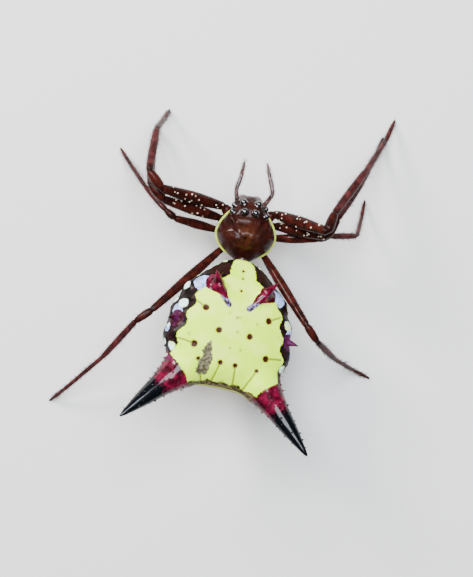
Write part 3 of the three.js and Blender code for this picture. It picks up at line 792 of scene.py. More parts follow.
legs = {}
for leg in LEG_PIECES:
    limb = Limb(joints[leg], leg_radius, 1, 0.06, 0.2, SLENDER[leg[-1]])
    limb.skin[:, 2] = np.maximum(limb.skin[:, 2], 0.0)
    redness = soft_step(limb.along, limb.marks[3] - 0.2, limb.marks[3] + 0.4)
    values = {"joint": per_point(limb.pinch), "redness": per_point(redness)}
    solids = [f"leg_{leg}_{bone}" for bone in LEG_BONES]
    new_piece(f"leg_{leg}", limb.mesh(), "limb_varnish", solids, values)
    legs[leg] = limb

# %% [markdown]
# Leg hair is short on the thigh, longer and denser on the shin and foot, with a few strong spines.
# Roots are drawn at random along and round the leg, but from a seeded draw, so that each run gives
# the same animal.

# %% Leg hair
HAIR_RADIUS = 0.006
SPINE_RADIUS = 0.013
LOWEST_TIP = 0.02

random = np.random.default_rng(7)


def limb_hair(name, limb, joints_between, density, length, finish, radius=HAIR_RADIUS, lean_share=1.0):
    """Hairs between two joints, so many to the millimetre: a root at a random place along and round
    the tube leans towards the foot. Hairs that would reach the floor are left out."""
    low, high = (limb.marks[joint] for joint in joints_between)
    count = int(density * (high - low))
    place = random.uniform(low, high, count)
    angle = random.uniform(0, 2 * math.pi, count)
    sideways = np.cos(angle)[:, None] * limb.at(place, limb.side)
    normal = unit(sideways + np.sin(angle)[:, None] * limb.at(place, limb.up))
    sunk_radius = np.interp(place, limb.along, limb.radius) - 0.01
    roots = limb.at(place, limb.path) + normal * sunk_radius[:, None]
    leans = unit(limb.at(place, limb.ahead)) * lean_share
    lengths = length * random.uniform(0.6, 1.3, count)
    keep = roots[:, 2] + (normal[:, 2] * 0.5 + leans[:, 2]) * lengths > LOWEST_TIP
    root_uv = 0.02 + 0.96 * np.stack([place / limb.marks[-1], angle / (2 * math.pi)], axis=-1)
    hairs = (array[keep] for array in (roots, normal, leans, lengths))
    bristles(name, *hairs, radius, finish, "leg_cuticle", root_uv[keep])


for leg, limb in legs.items():
    limb_hair(f"thigh_hair_{leg}", limb, (1, 3), 70, 0.11, "bristle_horn")
    limb_hair(f"shin_hair_{leg}", limb, (3, 6), 120, 0.15, "bristle_horn")
    limb_hair(f"leg_spines_{leg}", limb, (2, 5), 3.0, 0.32, "bristle_horn", SPINE_RADIUS, 0.6)

# %% [markdown]
# The thighs of the first two pairs carry blunt warts along their upper side, and each foot ends in a
# pair of small claws. A wart is a low dome, whose pale colour is a painted highlight standing in for
# its glint. A claw is a bristle with a thick root.

# %% Warts and claws
WARTS_PER_THIGH = 15
WART_SPREAD = 1.1  # radians to either side of a thigh's top
CLAW_LENGTH = 0.14
CLAW_RADIUS = 0.022
CLAW_SPREAD = 0.35


def thigh_warts(limb):
    """Low domes at random places along the upper side of a thigh."""
    domes = []
    for place in random.uniform(limb.marks[1] + 0.15, limb.marks[2] - 0.1, WARTS_PER_THIGH):
        i = int(np.searchsorted(limb.along, place))
        angle = math.pi / 2 + random.uniform(-WART_SPREAD, WART_SPREAD)
        normal = math.cos(angle) * limb.side[i] + math.sin(angle) * limb.up[i]
        radius = random.uniform(0.028, 0.045)
        domes.append(bead(limb.path[i] + normal * limb.radius[i], normal, radius, radius, 4, 10))
    return domes


def claw_pair(limb):
    """Root, direction and lean of two claws that part from each other at the end of a foot."""
    forward = unit(limb.ahead[-1] * [1, 1, 0.1])
    sideways = CLAW_SPREAD * np.array([-forward[1], forward[0], 0.0])
    root = limb.path[-1] + [0, 0, 0.03]
    return [(root, unit(forward + sign * sideways), (0.0, 0.0, -0.3)) for sign in (1, -1)]


warts = [dome for leg, limb in legs.items() if leg[-1] in "12" for dome in thigh_warts(limb)]
# The warts' pale finish is a painted highlight, standing in for their glints
new_piece("thigh_warts", join_meshes(warts), "pale_horn")
claws = [claw for limb in legs.values() for claw in claw_pair(limb)]
claw_uv = np.stack([np.linspace(0.05, 0.95, len(claws)), np.full(len(claws), 0.5)], axis=-1)
claw_sizes = np.full(len(claws), CLAW_LENGTH)
claw_arrays = (np.array(column) for column in zip(*claws))
bristles("foot_claws", *claw_arrays, claw_sizes, CLAW_RADIUS, "jaw_shell", "leg_cuticle", claw_uv)

# %% [markdown]
# Two jaws hang in front under the head, each ending in a small fang, and two feelers reach forward
# beside them. All are tubes along a few named points, like the legs.

# %% Jaws and feelers
JAW_ROOT = (0.27, -1.08, 2.36)
JAW_LENGTH = 0.85
JAW_RADIUS = 0.25
JAW_RISE = -78  # degrees above the horizon
JAW_SWELLING = [(0, 0.75), (0.4, 1.0), (0.8, 0.85), (0.95, 0.55), (1, 0.15)]
JAW_STEPS = 40
JAW_SIDES = 40
FANG_LENGTH = 0.36
FANG_RADIUS = 0.08
FANG_SIDES = 16
PALP_ROOT = (0.5, -1.0, 2.3)
# Bearing, rise and length of each piece of a feeler
PALP_SEGMENTS = {
    "left": [(-72, 38, 0.73), (-103, 0, 0.56), (-97, -32, 0.82)],
    "right": [(-118, 34, 0.83), (-70, 0, 0.66), (-75, -38, 0.74)],
}
PALP_SWELLING = [(0, 0.12), (0.15, 0.105), (0.4, 0.085), (0.6, 0.09), (0.8, 0.08), (0.95, 0.05), (1, 0.03)]
UPRIGHT = {"reference": (1.0, 0.0, 0.0)}  # for tubes that stand upright


def jaw(side):
    """Two tubes: the fat base, whose radius swells and closes, and the fang, which turns inwards."""
    down = heading(-90, JAW_RISE)
    root = np.array(JAW_ROOT) * [side, 1, 1]
    t = np.linspace(0, 1, JAW_STEPS)
    base = root + np.outer(t * (JAW_LENGTH + 0.1), down)
    inwards = unit(np.array([-0.35 * side, 0.55, -0.75]))
    fang = root + down * JAW_LENGTH + np.outer(t * FANG_LENGTH, inwards) + np.outer(t**2 * 0.05, [0, 0, 1])
    fang_radii = FANG_RADIUS * (1 - t) ** 0.8 + 0.006
    base_tube = tube(base, JAW_RADIUS * curve_through(JAW_SWELLING, t), JAW_SIDES, **UPRIGHT)
    return join_meshes([base_tube, tube(fang, fang_radii, FANG_SIDES, **UPRIGHT)])


def feeler_joints(side_name):
    """A place inside the head, the root and the end of each piece of a feeler."""
    root = np.array(PALP_ROOT) * [SIDES[side_name], 1, 1]
    corners = [root - heading(PALP_SEGMENTS[side_name][0][0], 30) * 0.25, root]
    for bearing, rise, length in PALP_SEGMENTS[side_name]:
        corners.append(corners[-1] + heading(bearing, rise) * length)
    return np.array(corners)


def feeler_radius(along, marks):
    """Thick at the root, a little swollen past the middle, and fine at the tip."""
    return curve_through(PALP_SWELLING, along / marks[-1])


for side_name, side in SIDES.items():
    new_piece(f"jaw_{side_name}", jaw(side), "jaw_shell", [f"chelicera_{side_name}"])
    feeler = Limb(feeler_joints(side_name), feeler_radius, 2, 0.05, 0.18)
    new_piece(f"feeler_{side_name}", feeler.mesh(), "feeler_horn", [f"palp_{side_name}"])
    limb_hair(f"feeler_hair_{side_name}", feeler, (1, 4), 150, 0.15, "pale_down")

# %% [markdown]
# The rear half is the showpiece: a stiff yellow plate on a dark bag, drawn out into spines. It has
# a frame of its own, tipped up to the rear, rolled and turned a little. Its body is made of
# superellipse rings like the carapace, its thorns are tapered tubes, and a voxel remesh grows them
# together into one skin, which is then smoothed where they meet.

# %% Abdomen: place and plain form
ABDOMEN_START = np.array([0.0, 1.2, 3.0])
PITCH, ROLL, YAW = (math.radians(a) for a in (9, 8, 3))
ABDOMEN_TURN = np.array(
    Matrix.Rotation(-YAW, 3, "Z") @ Matrix.Rotation(PITCH, 3, "X") @ Matrix.Rotation(-ROLL, 3, "Y")
)
ABDOMEN_LENGTH = 5.35
ABDOMEN_ENDS = (0.0, ABDOMEN_LENGTH)
HALF_WIDTHS = [(0, 0.95), (0.5, 1.5), (1.3, 2.12), (2.4, 2.42), (3.9, 2.6), (5.35, 2.3)]
BACK_HEIGHTS = [(0, 0.4), (0.8, 0.78), (2.2, 1.0), (4.0, 1.0), (4.9, 0.85), (5.35, 0.4)]
BELLY_DEPTHS = [(0, -0.6), (0.9, -1.2), (2.2, -2.15), (3.2, -1.85), (4.4, -0.95), (5.35, -0.6)]
BAG_OUTLINES = (HALF_WIDTHS, BACK_HEIGHTS, BELLY_DEPTHS)
PLATE_POWER = 0.78
BELLY_POWER = 1.12
BAG_RINGS = 150
BAG_SIDES = 200
SCALLOP = 0.04
REAR_NOTCH = 0.3


def abdomen_body():
    """Superellipse rings from the front to the rear; flat-topped above and round below, with the
    rear corners drawn back and scallops along the edge."""
    powers = (PLATE_POWER, BELLY_POWER)
    x, y, z = ringed_body(ABDOMEN_ENDS, *BAG_OUTLINES, 0.0, powers, BAG_RINGS, BAG_SIDES)
    angle = ring_angles(BAG_SIDES)
    edge = bell(np.abs(np.cos(angle)) - 0.9, 0.14) * (np.sin(angle) > -0.2)
    x = x * (1 + SCALLOP * edge * np.sin(y / ABDOMEN_LENGTH * 10 * math.pi))
    y = y + soft_step(y, 3.2, ABDOMEN_LENGTH) * REAR_NOTCH * ((x / 1.5) ** 2 - 0.4)
    return closed_body(x, y, z, [0, 0, 0], [0, ABDOMEN_LENGTH - REAR_NOTCH * 0.4, 0])


def to_body(points):
    """Places in the abdomen's own frame as places in the body's."""
    return points @ ABDOMEN_TURN.T + ABDOMEN_START


print("abdomen tipped up by", round(math.degrees(PITCH)), "degrees")

# %% Abdomen: thorns
# Thorns of the left side: root, bearing, rise, length and root radius
THORNS = {
    "front": ((0.85, 1.4, 0.6), -54, 50, 1.15, 0.40),
    "middle": ((2.05, 2.85, 0.35), 12, 32, 0.85, 0.34),
    "rear": ((1.68, 4.82, 0.15), 48, 13, 3.35, 0.82),
}
THORN_START = -0.27  # inside the bag, as a share of the length
REAR_TAPER = [(-0.27, 1.0), (0, 1.0), (0.15, 0.8), (0.35, 0.58), (0.6, 0.4), (0.82, 0.22)]
REAR_TAPER += [(0.97, 0.07), (1, 0.02)]
SHORT_TAPER = [(-0.3, 1.1), (0, 0.95), (0.15, 0.74), (0.35, 0.5), (0.6, 0.32), (0.82, 0.18)]
SHORT_TAPER += [(0.97, 0.06), (1, 0.02)]
THORN_STEPS = 90
THORN_SIDES = 48
STREAK_START = (0.85, 1.55)
STREAK_END = (0.42, 2.0)


def thorn_axis(kind, side):
    """Root, direction, length and radius of a thorn on one side."""
    root, bearing, rise, length, radius = THORNS[kind]
    bearing = bearing if side > 0 else 180 - bearing
    return np.array(root) * [side, 1, 1], heading(bearing, rise), length, radius


def thorn(kind, side):
    """A tube with hollow sides: its radius follows the taper curve along a straight axis."""
    root, direction, length, radius = thorn_axis(kind, side)
    taper, flatten = (REAR_TAPER, 0.95) if kind == "rear" else (SHORT_TAPER, 0.85)
    t = np.linspace(THORN_START, 1, THORN_STEPS)
    path = root + np.outer(t * length, direction)
    return tube(path, curve_through(taper, t) * radius, THORN_SIDES, flatten=flatten)


def buttress(side):
    """A low ridge from inside the front thorn to the end of its dark streak, thinner at its end."""
    start = np.array([0.95, 1.35, 0.95]) * [side, 1, 1]
    end = np.array([*STREAK_END, 0.88]) * [side, 1, 1]
    t = np.linspace(0, 1, 30)
    return tube(start + np.outer(t, end - start), 0.2 - 0.12 * t, 24)


parts = [abdomen_body()]
parts += [thorn(kind, side) for kind in THORNS for side in (1, -1)]
parts += [buttress(side) for side in (1, -1)]
print("abdomen mould:", len(parts), "closed meshes")

# %% Abdomen: grown together
VOXEL = 0.045


def read(rows, field, width, kind=float):
    """One field of all the rows of a mesh, as an array with so many numbers to a row."""
    numbers = np.empty(len(rows) * width, dtype=kind)
    rows.foreach_get(field, numbers)
    return numbers.reshape(-1, width)


def grown_together(mesh_pair):
    """Voxel remesh of overlapping closed meshes into one skin, in a throwaway object whose units
    are millimetres, because a voxel may not be under a tenth of Blender's unit thousandth."""
    points, faces = mesh_pair
    mesh = bpy.data.meshes.new("mould")
    mesh.from_pydata(points.tolist(), [], faces)
    mould = new_object("mould", mesh)
    remesh = mould.modifiers.new("grow", "REMESH")
    remesh.mode = "VOXEL"
    remesh.voxel_size = VOXEL
    cast = mould.evaluated_get(bpy.context.evaluated_depsgraph_get()).to_mesh()
    skin = read(cast.vertices, "co", 3)
    corners = read(cast.loops, "vertex_index", 1, np.int32).reshape(-1, 4)
    edges = read(cast.edges, "vertices", 2, np.int32)
    bpy.data.objects.remove(mould)
    return skin, corners.tolist(), edges


def relax(points, edges, weight, rounds):
    """Moves each point towards the mean of its neighbours by its weight, several times."""
    count = len(points)
    ends = np.concatenate([edges[:, 0], edges[:, 1]])
    others = np.concatenate([edges[:, 1], edges[:, 0]])
    degree = np.bincount(ends, minlength=count)
    for _ in range(rounds):
        total = [np.bincount(ends, points[others, k], minlength=count) for k in range(3)]
        points = points + weight[:, None] * (np.stack(total, axis=1) / degree[:, None] - points)
    return points


def along_thorn(points, kind):
    """For each point the share of the way up the nearer thorn of that kind, and its distance from
    that thorn's axis."""
    share = np.full(len(points), -9.0)
    away = np.full(len(points), 9.0)
    for side in (1, -1):
        root, direction, length, _ = thorn_axis(kind, side)
        from_root = points - root
        t = from_root @ direction
        distance = np.linalg.norm(from_root - np.outer(t, direction), axis=1)
        closer = distance < away
        share = np.where(closer, t / length, share)
        away = np.where(closer, distance, away)
    return share, away


bag, bag_faces, bag_edges = grown_together(join_meshes(parts))
thorn_fields = {kind: along_thorn(bag, kind) for kind in THORNS}
near_root = np.zeros(len(bag))
for kind, (share, away) in thorn_fields.items():
    radius = THORNS[kind][-1]
    near_root = np.maximum(near_root, bell(away - radius, 0.5 * radius) * soft_step(-share, -0.5, -0.25))
(front_share, front_away), (middle_share, middle_away), (rear_share, rear_away) = thorn_fields.values()
on_thorn = soft_step(rear_share, 0.35, 0.5) * (rear_away < 1.2)
bag = relax(bag, bag_edges, 0.5 * np.clip(0.12 + near_root, 0, 1) * (1 - on_thorn), 45)
bag = relax(bag, bag_edges, 0.25 * on_thorn, 4)
print("abdomen skin:", len(bag), "points")

# %% [markdown]
# The plate's markings are fields, numbers stored at every point of the skin: how far a point lies
# inside the plate's outline, how near it is to a spot or a groove. The finish turns them into
# colours with a sharp edge, which stays sharp between points because a distance changes evenly.

# %% Abdomen: outlines of the markings
PLATE_OUTLINE = [
    (0.0, 0.0), (0.30, 0.04), (0.42, 0.22), (0.50, 0.5), (0.53, 0.8), (0.8, 1.0), (1.28, 1.3), (1.68, 1.85),
    (1.84, 2.5), (1.98, 3.1), (2.12, 3.6), (2.16, 4.2), (1.98, 4.75), (1.86, 5.3), (1.5, 5.35), (1.2, 5.2),
    (0.9, 5.12), (0.6, 4.96), (0.3, 5.02), (0.0, 4.94),
]
# Places and radii of the brown spots, beside the midline and on it
SPOTS = [(1.31, 2.3, 0.13), (0.64, 3.09, 0.12), (1.48, 3.8, 0.13), (0.31, 4.32, 0.10), (1.21, 4.34, 0.08)]
SPOTS += [(0, 0.49, 0.055), (0, 0.82, 0.045), (0, 1.34, 0.055), (0, 2.45, 0.04)]
GROOVES = [
    ((1.48, 3.8), (2.1, 3.68)),
    ((0.31, 4.32), (0.42, 4.98)),
    ((1.21, 4.34), (0.86, 5.1)),
    ((1.31, 2.3), (1.75, 2.05)),
]
FAINT_MARKS = [(0.32, 2.32), (-0.11, 2.43), (-0.10, 3.0), (0.05, 3.68)]
FAINT_MARKS += [(-0.36, 3.67), (1.74, 3.44), (-0.84, 2.55), (-1.52, 1.59)]
# Between these points at the front thorns the skin is crimson
FRONT_PATCH = [(1.25, 0.8), (1.42, 1.2), (1.38, 1.5), (0.98, 1.62), (0.52, 1.76), (0.62, 1.45), (0.9, 1.1)]
# A worn patch, on the left only
SCAR = [(0.83, 3.53), (1.02, 3.77), (1.11, 3.95), (1.03, 4.17), (1.18, 4.41)]
SCAR += [(1.20, 4.89), (1.01, 4.96), (0.72, 4.82), (0.63, 4.29), (0.75, 3.91)]


def line_distance(p, a, b):
    """Distance from points in the plane to the stretch from a to b."""
    a, b = np.array(a), np.array(b)
    t = np.clip(((p - a) @ (b - a)) / ((b - a) @ (b - a)), 0, 1)
    return np.linalg.norm(p - a - t[:, None] * (b - a), axis=1)


def inside_distance(p, outline):
    """Distance to a closed outline, positive inside it. A point is inside where a ray along x
    crosses the outline an odd number of times."""
    ring = np.array(outline)
    distance = np.full(len(p), 99.0)
    crossings = np.zeros(len(p), dtype=int)
    for a, b in zip(ring, np.roll(ring, -1, axis=0)):
        distance = np.minimum(distance, line_distance(p, a, b))
        spans = (a[1] > p[:, 1]) != (b[1] > p[:, 1])
        at = a[0] + (p[:, 1] - a[1]) * (b[0] - a[0]) / (b[1] - a[1] + 1e-12)
        crossings += spans & (p[:, 0] < at)
    return np.where(crossings % 2 == 1, distance, -distance)


def nearest_of(distances):
    """The least of several distances at each point."""
    return np.min(list(distances), axis=0)


plan = bag[:, :2]
folded = np.stack([np.abs(bag[:, 0]), bag[:, 1]], axis=1)
height = bag[:, 2]
mirrored = PLATE_OUTLINE + [(-px, py) for px, py in PLATE_OUTLINE[-2:0:-1]]
scallops = 0.09 * np.sin(bag[:, 1] * 7.4 + 0.9 * np.sign(bag[:, 0])) * soft_step(folded[:, 0], 1.4, 1.8)
plate = np.where(height > -0.05, inside_distance(plan, mirrored) + scallops, -0.5)
# Painted sheen: a paler middle of the plate, standing in for its reflection of the lamp overhead
painted_sheen = bell(bag[:, 0], 1.0) * bell(bag[:, 1] - 2.0, 1.3)
spot = nearest_of(np.linalg.norm(folded - place, axis=1) - radius for *place, radius in SPOTS)
groove = nearest_of(line_distance(folded, a, b) for a, b in GROOVES)
streak = line_distance(folded, STREAK_START, STREAK_END)
faint = nearest_of(np.linalg.norm(plan - place, axis=1) for place in FAINT_MARKS) + 9 * (height < 0)
scar = inside_distance(plan, SCAR)
upper = soft_step(height, 0.1, 0.4)
print("points inside the plate:", int((plate > 0).sum()))

# %% [markdown]
# Outside the plate the bag is nearly black, with pale round spots in rows, painted lilac reflections
# on the shoulders and dark brown beside the front lobe. The spots on the upper flank lie where the
# photograph shows them. Those below it are laid out on the rings of the plain form, so they follow
# the flank on both sides.

# %% Abdomen: flank marks
# Balls of the left side, each a place and a radius
SHOULDER_SPOTS = [
    (2.09, 1.51, 0.3, 0.19), (2.31, 2.16, 0.15, 0.14), (2.02, 2.33, 0.45, 0.2), (2.5, 3.86, 0.1, 0.12),
    (2.2, 3.97, 0.4, 0.17), (1.39, 0.5, 0.0, 0.15), (1.08, 0.3, 0.1, 0.12), (0.75, 0.14, 0.15, 0.1),
    (1.7, 2.62, 0.65, 0.07), (2.56, 3.15, 0.35, 0.12), (2.42, 4.35, 0.2, 0.08), (1.75, 0.95, 0.1, 0.12),
]
# Painted reflection: lilac patches on the shoulders, standing in for the glossy skin mirroring the sky
PAINTED_REFLECTIONS = [(1.5, 1.32, 0.6, 0.3), (2.2, 2.62, 0.4, 0.2), (2.4, 3.35, 0.25, 0.1)]
BROWN_PATCHES = [(0.78, 0.52, 0.45, 0.24), (1.15, 0.72, 0.4, 0.15)]
# Height, radius, spacing and first place of each row of spots below the edge
FLANK_ROWS = [
    (-0.30, 0.17, 0.62, 0.75),
    (-0.72, 0.15, 0.62, 1.05),
    (-1.12, 0.12, 0.7, 1.2),
    (-1.5, 0.10, 0.75, 1.6),
]
FLANK_END = 4.6


def flank_spots():
    """Balls for the pale spots below the edge: each row keeps its height along the flank."""
    spots = []
    for row_height, radius, spacing, first in FLANK_ROWS:
        for y in np.arange(first, FLANK_END, spacing):
            full = fullness(lengthwise_at(y, ABDOMEN_ENDS))
            sine = row_height / (curve_through(BELLY_DEPTHS, y) * full)
            if sine < 0.95:
                cosine = math.sqrt(1 - sine ** (2 / BELLY_POWER))
                x = curve_through(HALF_WIDTHS, y) * full * cosine**BELLY_POWER
                spots.append((x, y, row_height, radius))
    return spots


def ball_distance(balls):
    """Distance to the nearest of several balls on both sides, negative inside. A ball is first moved
    to the point of the skin next to it, so that its mark has its full width."""
    mirrored_skin = np.column_stack([folded, height])
    nearest = np.full(len(folded), 99.0)
    for *middle, radius in balls:
        seat = mirrored_skin[np.argmin(np.linalg.norm(mirrored_skin - middle, axis=1))]
        nearest = np.minimum(nearest, np.linalg.norm(mirrored_skin - seat, axis=1) - radius)
    return nearest


def halo(distance, width):
    """1 where a distance is negative, falling as a bell beyond that."""
    return bell(np.maximum(distance, 0), width)


pale_spots = SHOULDER_SPOTS + flank_spots()
pale = ball_distance(pale_spots)
# Where the painted lilac reflection shows, falling off round each patch
painted_reflection = halo(ball_distance(PAINTED_REFLECTIONS), 0.09)
brown = halo(ball_distance(BROWN_PATCHES), 0.1)
magenta = soft_step(-plate, 0.0, 0.15) * soft_step(bag[:, 1], 4.1, 4.5) * soft_step(height, -0.3, 0.0)
behind_plate = soft_step(-plate, -0.02, 0.06) * soft_step(bag[:, 1], 4.6, 4.9)
rear_face = behind_plate * soft_step(-folded[:, 0], -1.5, -1.15)
rear_line = np.abs(height - 0.12)
print("pale spots on each flank:", len(pale_spots))

# %% [markdown]
# The markings are in relief too. Spots and grooves are pressed in, the plate's edge and the pale
# spots stand up, and the flank has low folds. All of it is one push outward from the bag's core.

# %% Abdomen: relief
CORE = np.array([0.0, 2.6, -0.2])

outward = unit((bag - CORE) * [1.0, 0.8, 1.0])
flank = soft_step(-plate, 0.05, 0.3) * (1 - on_thorn) * soft_step(-rear_share, -0.25, 0.0)
folds = np.sin(bag[:, 1] * 9.5 + 1.5 * np.sin(bag[:, 2] * 3)) * soft_step(-height, -0.3, 0.1)
edge_ridge = bell(plate, 0.16) * soft_step(height, 0.0, 0.3)
push = 0.035 * edge_ridge - 0.03 * halo(spot + 0.04, 0.06) * upper - 0.03 * bell(groove, 0.045) * upper
push += 0.025 * folds * flank + 0.035 * halo(pale, 0.1) * flank
bag = bag + outward * push[:, None]
print("relief from", push.min().round(3), "to", push.max().round(3), "mm")

# %% [markdown]
# The finish of the rear half goes through the markings from the bottom up: the dark flank, its pale
# spots, the yellow plate with its paler clouds and a painted sheen over its middle, the brown spots,
# the worn scar, and at last the crimson roots and black tips of the thorns. A little noise moves
# every edge, so that none is drawn with a ruler.

# %% Abdomen: finish
YELLOW = srgb(210, 255, 0)
YELLOW_PALE = srgb(228, 255, 84)
YELLOW_GREEN = srgb(192, 240, 0)
BLACK_BROWN = srgb(12, 5, 4)
CRIMSON = srgb(106, 10, 42)
DEEP_CRIMSON = srgb(48, 4, 15)
# Colour of the painted reflection on the shoulders
PAINTED_REFLECTION_LILAC = srgb(172, 200, 250)
PLUM = srgb(72, 18, 58)
SPINE_BLACK = srgb(4, 6, 10)


def abdomen_finish():
    """Layers of colour, each over the last where its field is above a soft threshold."""
    f = Finish("spiny_abdomen", Coat_Roughness=0.08, Specular_IOR_Level=0.06)
    fine = f.noise(0.12, 3.0) - 0.5

    def where(field, ragged, low, high):
        return f.step(f.attribute(field) + fine * ragged, low, high)

    blotch = f.step(f.noise(0.3, 4.0), 0.42, 0.6)
    # The paler clouds are the plate's own mottling from noise, plus the painted sheen over its middle
    clouds_and_painted_sheen = f.step(f.noise(0.7, 3.0) + f.attribute("painted_sheen") * 0.16, 0.46, 0.7)
    yellow = f.mix(clouds_and_painted_sheen, YELLOW, YELLOW_PALE)
    yellow = f.mix(f.step(f.noise(0.3, 4.0), 0.55, 0.8) * 0.7, yellow, YELLOW_GREEN)
    olive = f.patches(0.16, 0.4, 0.6, srgb(52, 40, 22), srgb(104, 92, 56))
    rear_tint = f.mix(where("rear_line", 0.05, -0.075, -0.045), olive, srgb(186, 192, 84))
    pale_tint = f.patches(0.5, 0.4, 0.6, srgb(222, 250, 168), srgb(224, 254, 250), 3.0)
    scar_tint = f.patches(0.1, 0.4, 0.6, srgb(70, 66, 44), srgb(112, 106, 84), 3.0)
    streak_tint = f.patches(0.14, 0.42, 0.6, srgb(44, 28, 44), srgb(140, 126, 170), 3.0)
    on_top = f.attribute("upper")
    plate_edge = where("plate", 0.16, -0.02, 0.03)
    on_plate = plate_edge * on_top
    crimson_root = where("crimson", 0.35, 0.42, 0.56)
    black_tip = where("tip", 0.4, -0.05, 0.1)
    layers = [
        (f.attribute("magenta") * 0.9, f.mix(blotch, PLUM, srgb(128, 26, 84))),
        # Painted reflection: pale lilac, broken by plum blotches
        (where("painted_reflection", 0.9, 0.42, 0.62), f.mix(blotch * 0.45, PAINTED_REFLECTION_LILAC, PLUM)),
        (where("pale", 0.09, -0.02, 0.03), pale_tint),
        (where("brown", 0.5, 0.4, 0.55), srgb(34, 15, 10)),
        (f.attribute("rear_face"), rear_tint),
        (plate_edge, yellow),
        (where("groove", 0.03, -0.06, -0.015) * on_plate * 0.75, srgb(84, 80, 24)),
        (where("faint", 0.16, -0.1, -0.03) * 0.6, srgb(130, 150, 30)),
        (where("spot", -0.06, -0.06, 0.0) * on_plate * 0.55, srgb(130, 116, 30)),
        (where("spot", -0.06, -0.015, 0.02) * on_plate, srgb(52, 20, 6)),
        (where("scar", 0.22, -0.02, 0.02), scar_tint),
        (where("streak", 0.12, -0.15, -0.09) * on_top, streak_tint),
        (crimson_root, f.patches(0.3, 0.38, 0.66, DEEP_CRIMSON, CRIMSON)),
        (where("plum", 0.3, 0.4, 0.6), f.mix(blotch, PLUM, DEEP_CRIMSON)),
        (black_tip, SPINE_BLACK),
    ]
    base = f.mix(blotch, BLACK_BROWN, srgb(32, 12, 16))
    for share, tint in layers:
        base = f.mix(share, base, tint)
    f.set("Base Color", base)
    gloss = f.math("MAXIMUM", crimson_root, black_tip)
    f.set("Coat Weight", gloss * 0.4 + 0.05)
    f.set("Roughness", f.noise(0.1) * 0.2 + 0.36 - gloss * 0.24)
    f.bump(f.noise(0.05, 2.0) + f.noise(0.18, 3.0) * 1.5, 0.35, 0.02)
    return f


finishes["spiny_abdomen"] = abdomen_finish()
print("abdomen finish:", len(finishes["spiny_abdomen"].tree.nodes), "nodes")

# %% [markdown]
# The last fields say how far a point is up a thorn. Distances to a mark are stored as minus the
# distance, so that every field is greatest where its colour shows.

# %% Abdomen: the skin


def root_halo(share, away, radius, width):
    """1 within radius of a thorn's axis, falling as a bell beyond it."""
    return halo(away - radius, width) * (share > -0.4)


def tip_field(share, away, reach, start, below):
    """How far past start a point is up a thorn, for points within reach of its axis."""
    return np.where(away < reach, np.maximum(below, share - start), below)


rear_crimson = root_halo(rear_share, rear_away, 0.50, 0.28) * soft_step(rear_share, -0.05, 0.12)
front_crimson = root_halo(front_share, front_away, 0.25, 0.10) * soft_step(front_share, 0.15, 0.35)
patch = soft_step(inside_distance(folded, FRONT_PATCH), -0.12, 0.08) * soft_step(height, 0.4, 0.6)
plum = root_halo(middle_share, middle_away, 0.2, 0.16) * soft_step(middle_share, -0.1, 0.2)
tip = np.where(rear_away < 0.9, rear_share - 0.33, -1.0)
tip = tip_field(middle_share, middle_away, 0.3, 0.8, tip)
tip = tip_field(front_share, front_away, 0.3, 0.9, tip)
markings = {
    "plate": plate, "spot": -spot, "groove": -groove, "streak": -streak, "faint": -faint, "scar": scar,
    "pale": -pale, "painted_reflection": painted_reflection, "brown": brown, "magenta": magenta, "plum": plum, "tip": tip,
    "crimson": np.maximum.reduce([rear_crimson, front_crimson, patch]), "rear_face": rear_face,
    "rear_line": -rear_line, "painted_sheen": painted_sheen, "upper": upper,
}
abdomen_skin = to_body(bag)
skin_mesh = (abdomen_skin, bag_faces)
solids = ["abdomen", "spine_rear_left", "spine_rear_right"]
skin_piece = new_piece("abdomen_skin", skin_mesh, "spiny_abdomen", solids, markings)

# %% [markdown]
# Small warts with a bristle each stand on the big thorns and along the dark edge. Their places are
# drawn from the skin's own points, not too close together, and each wart takes the markings of the
# point it stands on, so that it is crimson on crimson and black on black.

# %% Warts and bristles of the thorns
# Spacing and greatest number of the warts on the thorns and along the edge
THORN_WARTS = (0.24, 110)
EDGE_WARTS = (0.3, 40)
WART_BRISTLE_RADIUS = 0.008


def spread_out(candidates, spacing, count):
    """Up to count seeded draws among the candidates, none nearer than spacing to another."""
    chosen = []
    for index in random.permutation(candidates):
        if len(chosen) == count:
            break
        if all(np.linalg.norm(bag[index] - bag[other]) > spacing for other in chosen):
            chosen.append(int(index))
    return chosen


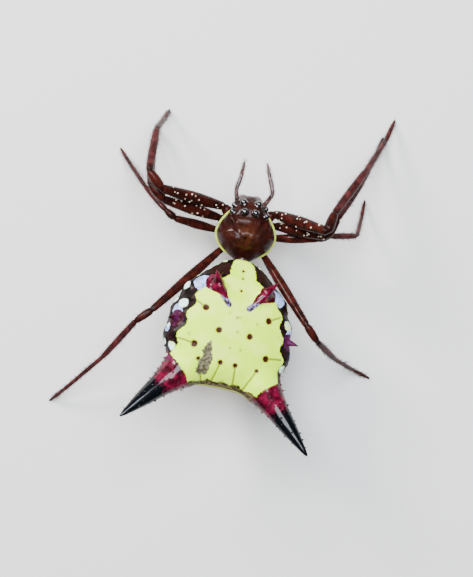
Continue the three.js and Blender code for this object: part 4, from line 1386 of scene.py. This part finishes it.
normals = read(skin_piece.data.vertex_normals, "vector", 3)
on_spines = np.flatnonzero((rear_share > 0.1) & (rear_share < 0.93) & (rear_away < 0.9))
beside_plate = (plate < -0.02) & (plate > -0.35) & (height > 0.0)
on_edge = np.flatnonzero(beside_plate & (rear_face < 0.1) & (brown < 0.3))
seats = spread_out(on_spines, *THORN_WARTS) + spread_out(on_edge, *EDGE_WARTS)
sizes = random.uniform(0.03, 0.055, len(seats)) * np.where(rear_share[seats] > 0.8, 0.6, 1.0)
domes = [bead(abdomen_skin[i], normals[i], size, size, 4, 9) for i, size in zip(seats, sizes)]
dome_marks = {name: np.repeat(numbers[seats], len(domes[0][0])) for name, numbers in markings.items()}
new_piece("thorn_warts", join_meshes(domes), "spiny_abdomen", values=dome_marks)
leans = unit(abdomen_skin[seats] - abdomen_skin.mean(axis=0)) * 0.7
wart_uv = np.clip(folded[seats] / [8.0, 9.0] + 0.02, 0.01, 0.99)
wart_uv[:, 0] = 0.5 + 0.5 * wart_uv[:, 0] * np.sign(bag[seats, 0])
lengths = random.uniform(0.12, 0.2, len(seats))
roots = abdomen_skin[seats] + normals[seats] * sizes[:, None] * 0.8
hairs = (roots, normals[seats], leans, lengths, WART_BRISTLE_RADIUS)
bristles("thorn_bristles", *hairs, "bristle_horn", "crimson_black_spine", wart_uv)

# %% [markdown]
# Last come the small dark parts: the waist between the two halves, and the spinnerets under the
# rear one, a short turret with a few cones on it.

# %% Waist and spinnerets
WAIST_FROM = [0.0, 1.0, 2.4]
WAIST_TO = [0.0, 1.95, 2.6]
SPINNERET_AT = np.array([0.0, 2.2, -2.0])
CONE_BEARINGS = (-120, -60, 30, 150)
DOWN = np.array([0.0, 0.0, -1.0])


def waist_tube():
    """A tube from inside the front half to inside the rear half, narrowest in the middle."""
    t = np.linspace(0, 1, 30)
    path = np.outer(1 - t, WAIST_FROM) + np.outer(t, WAIST_TO)
    return tube(path, 0.24 - 0.05 * np.sin(t * math.pi), 32)


def turret_cone(foot, direction, length, radius):
    """A blunt cone whose radius falls as a square root towards its tip."""
    t = np.linspace(0, 1, 16)
    return tube(foot + np.outer(t * length, direction), radius * np.sqrt(1 - 0.9 * t), 20, **UPRIGHT)


new_piece("waist", waist_tube(), "soft_skin", ["pedicel"])
cones = [turret_cone(SPINNERET_AT - DOWN * 0.25, DOWN, 0.62, 0.42)]
for bearing in CONE_BEARINGS:
    outwards = heading(bearing, 0)
    foot = SPINNERET_AT + outwards * 0.17 + DOWN * 0.25
    cones.append(turret_cone(foot, unit(DOWN - outwards * 0.15), 0.34, 0.13))
turret, turret_faces = join_meshes(cones)
new_piece("spinneret_turret", (to_body(turret), turret_faces), "soft_skin", ["spinnerets"])

# %% Sizes and the end
boxes = {"cad": [list(corner) for corner in cad_box], "visual": [list(corner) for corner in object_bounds()]}
print("boxes in mm:", {name: in_mm(box) for name, box in boxes.items()})
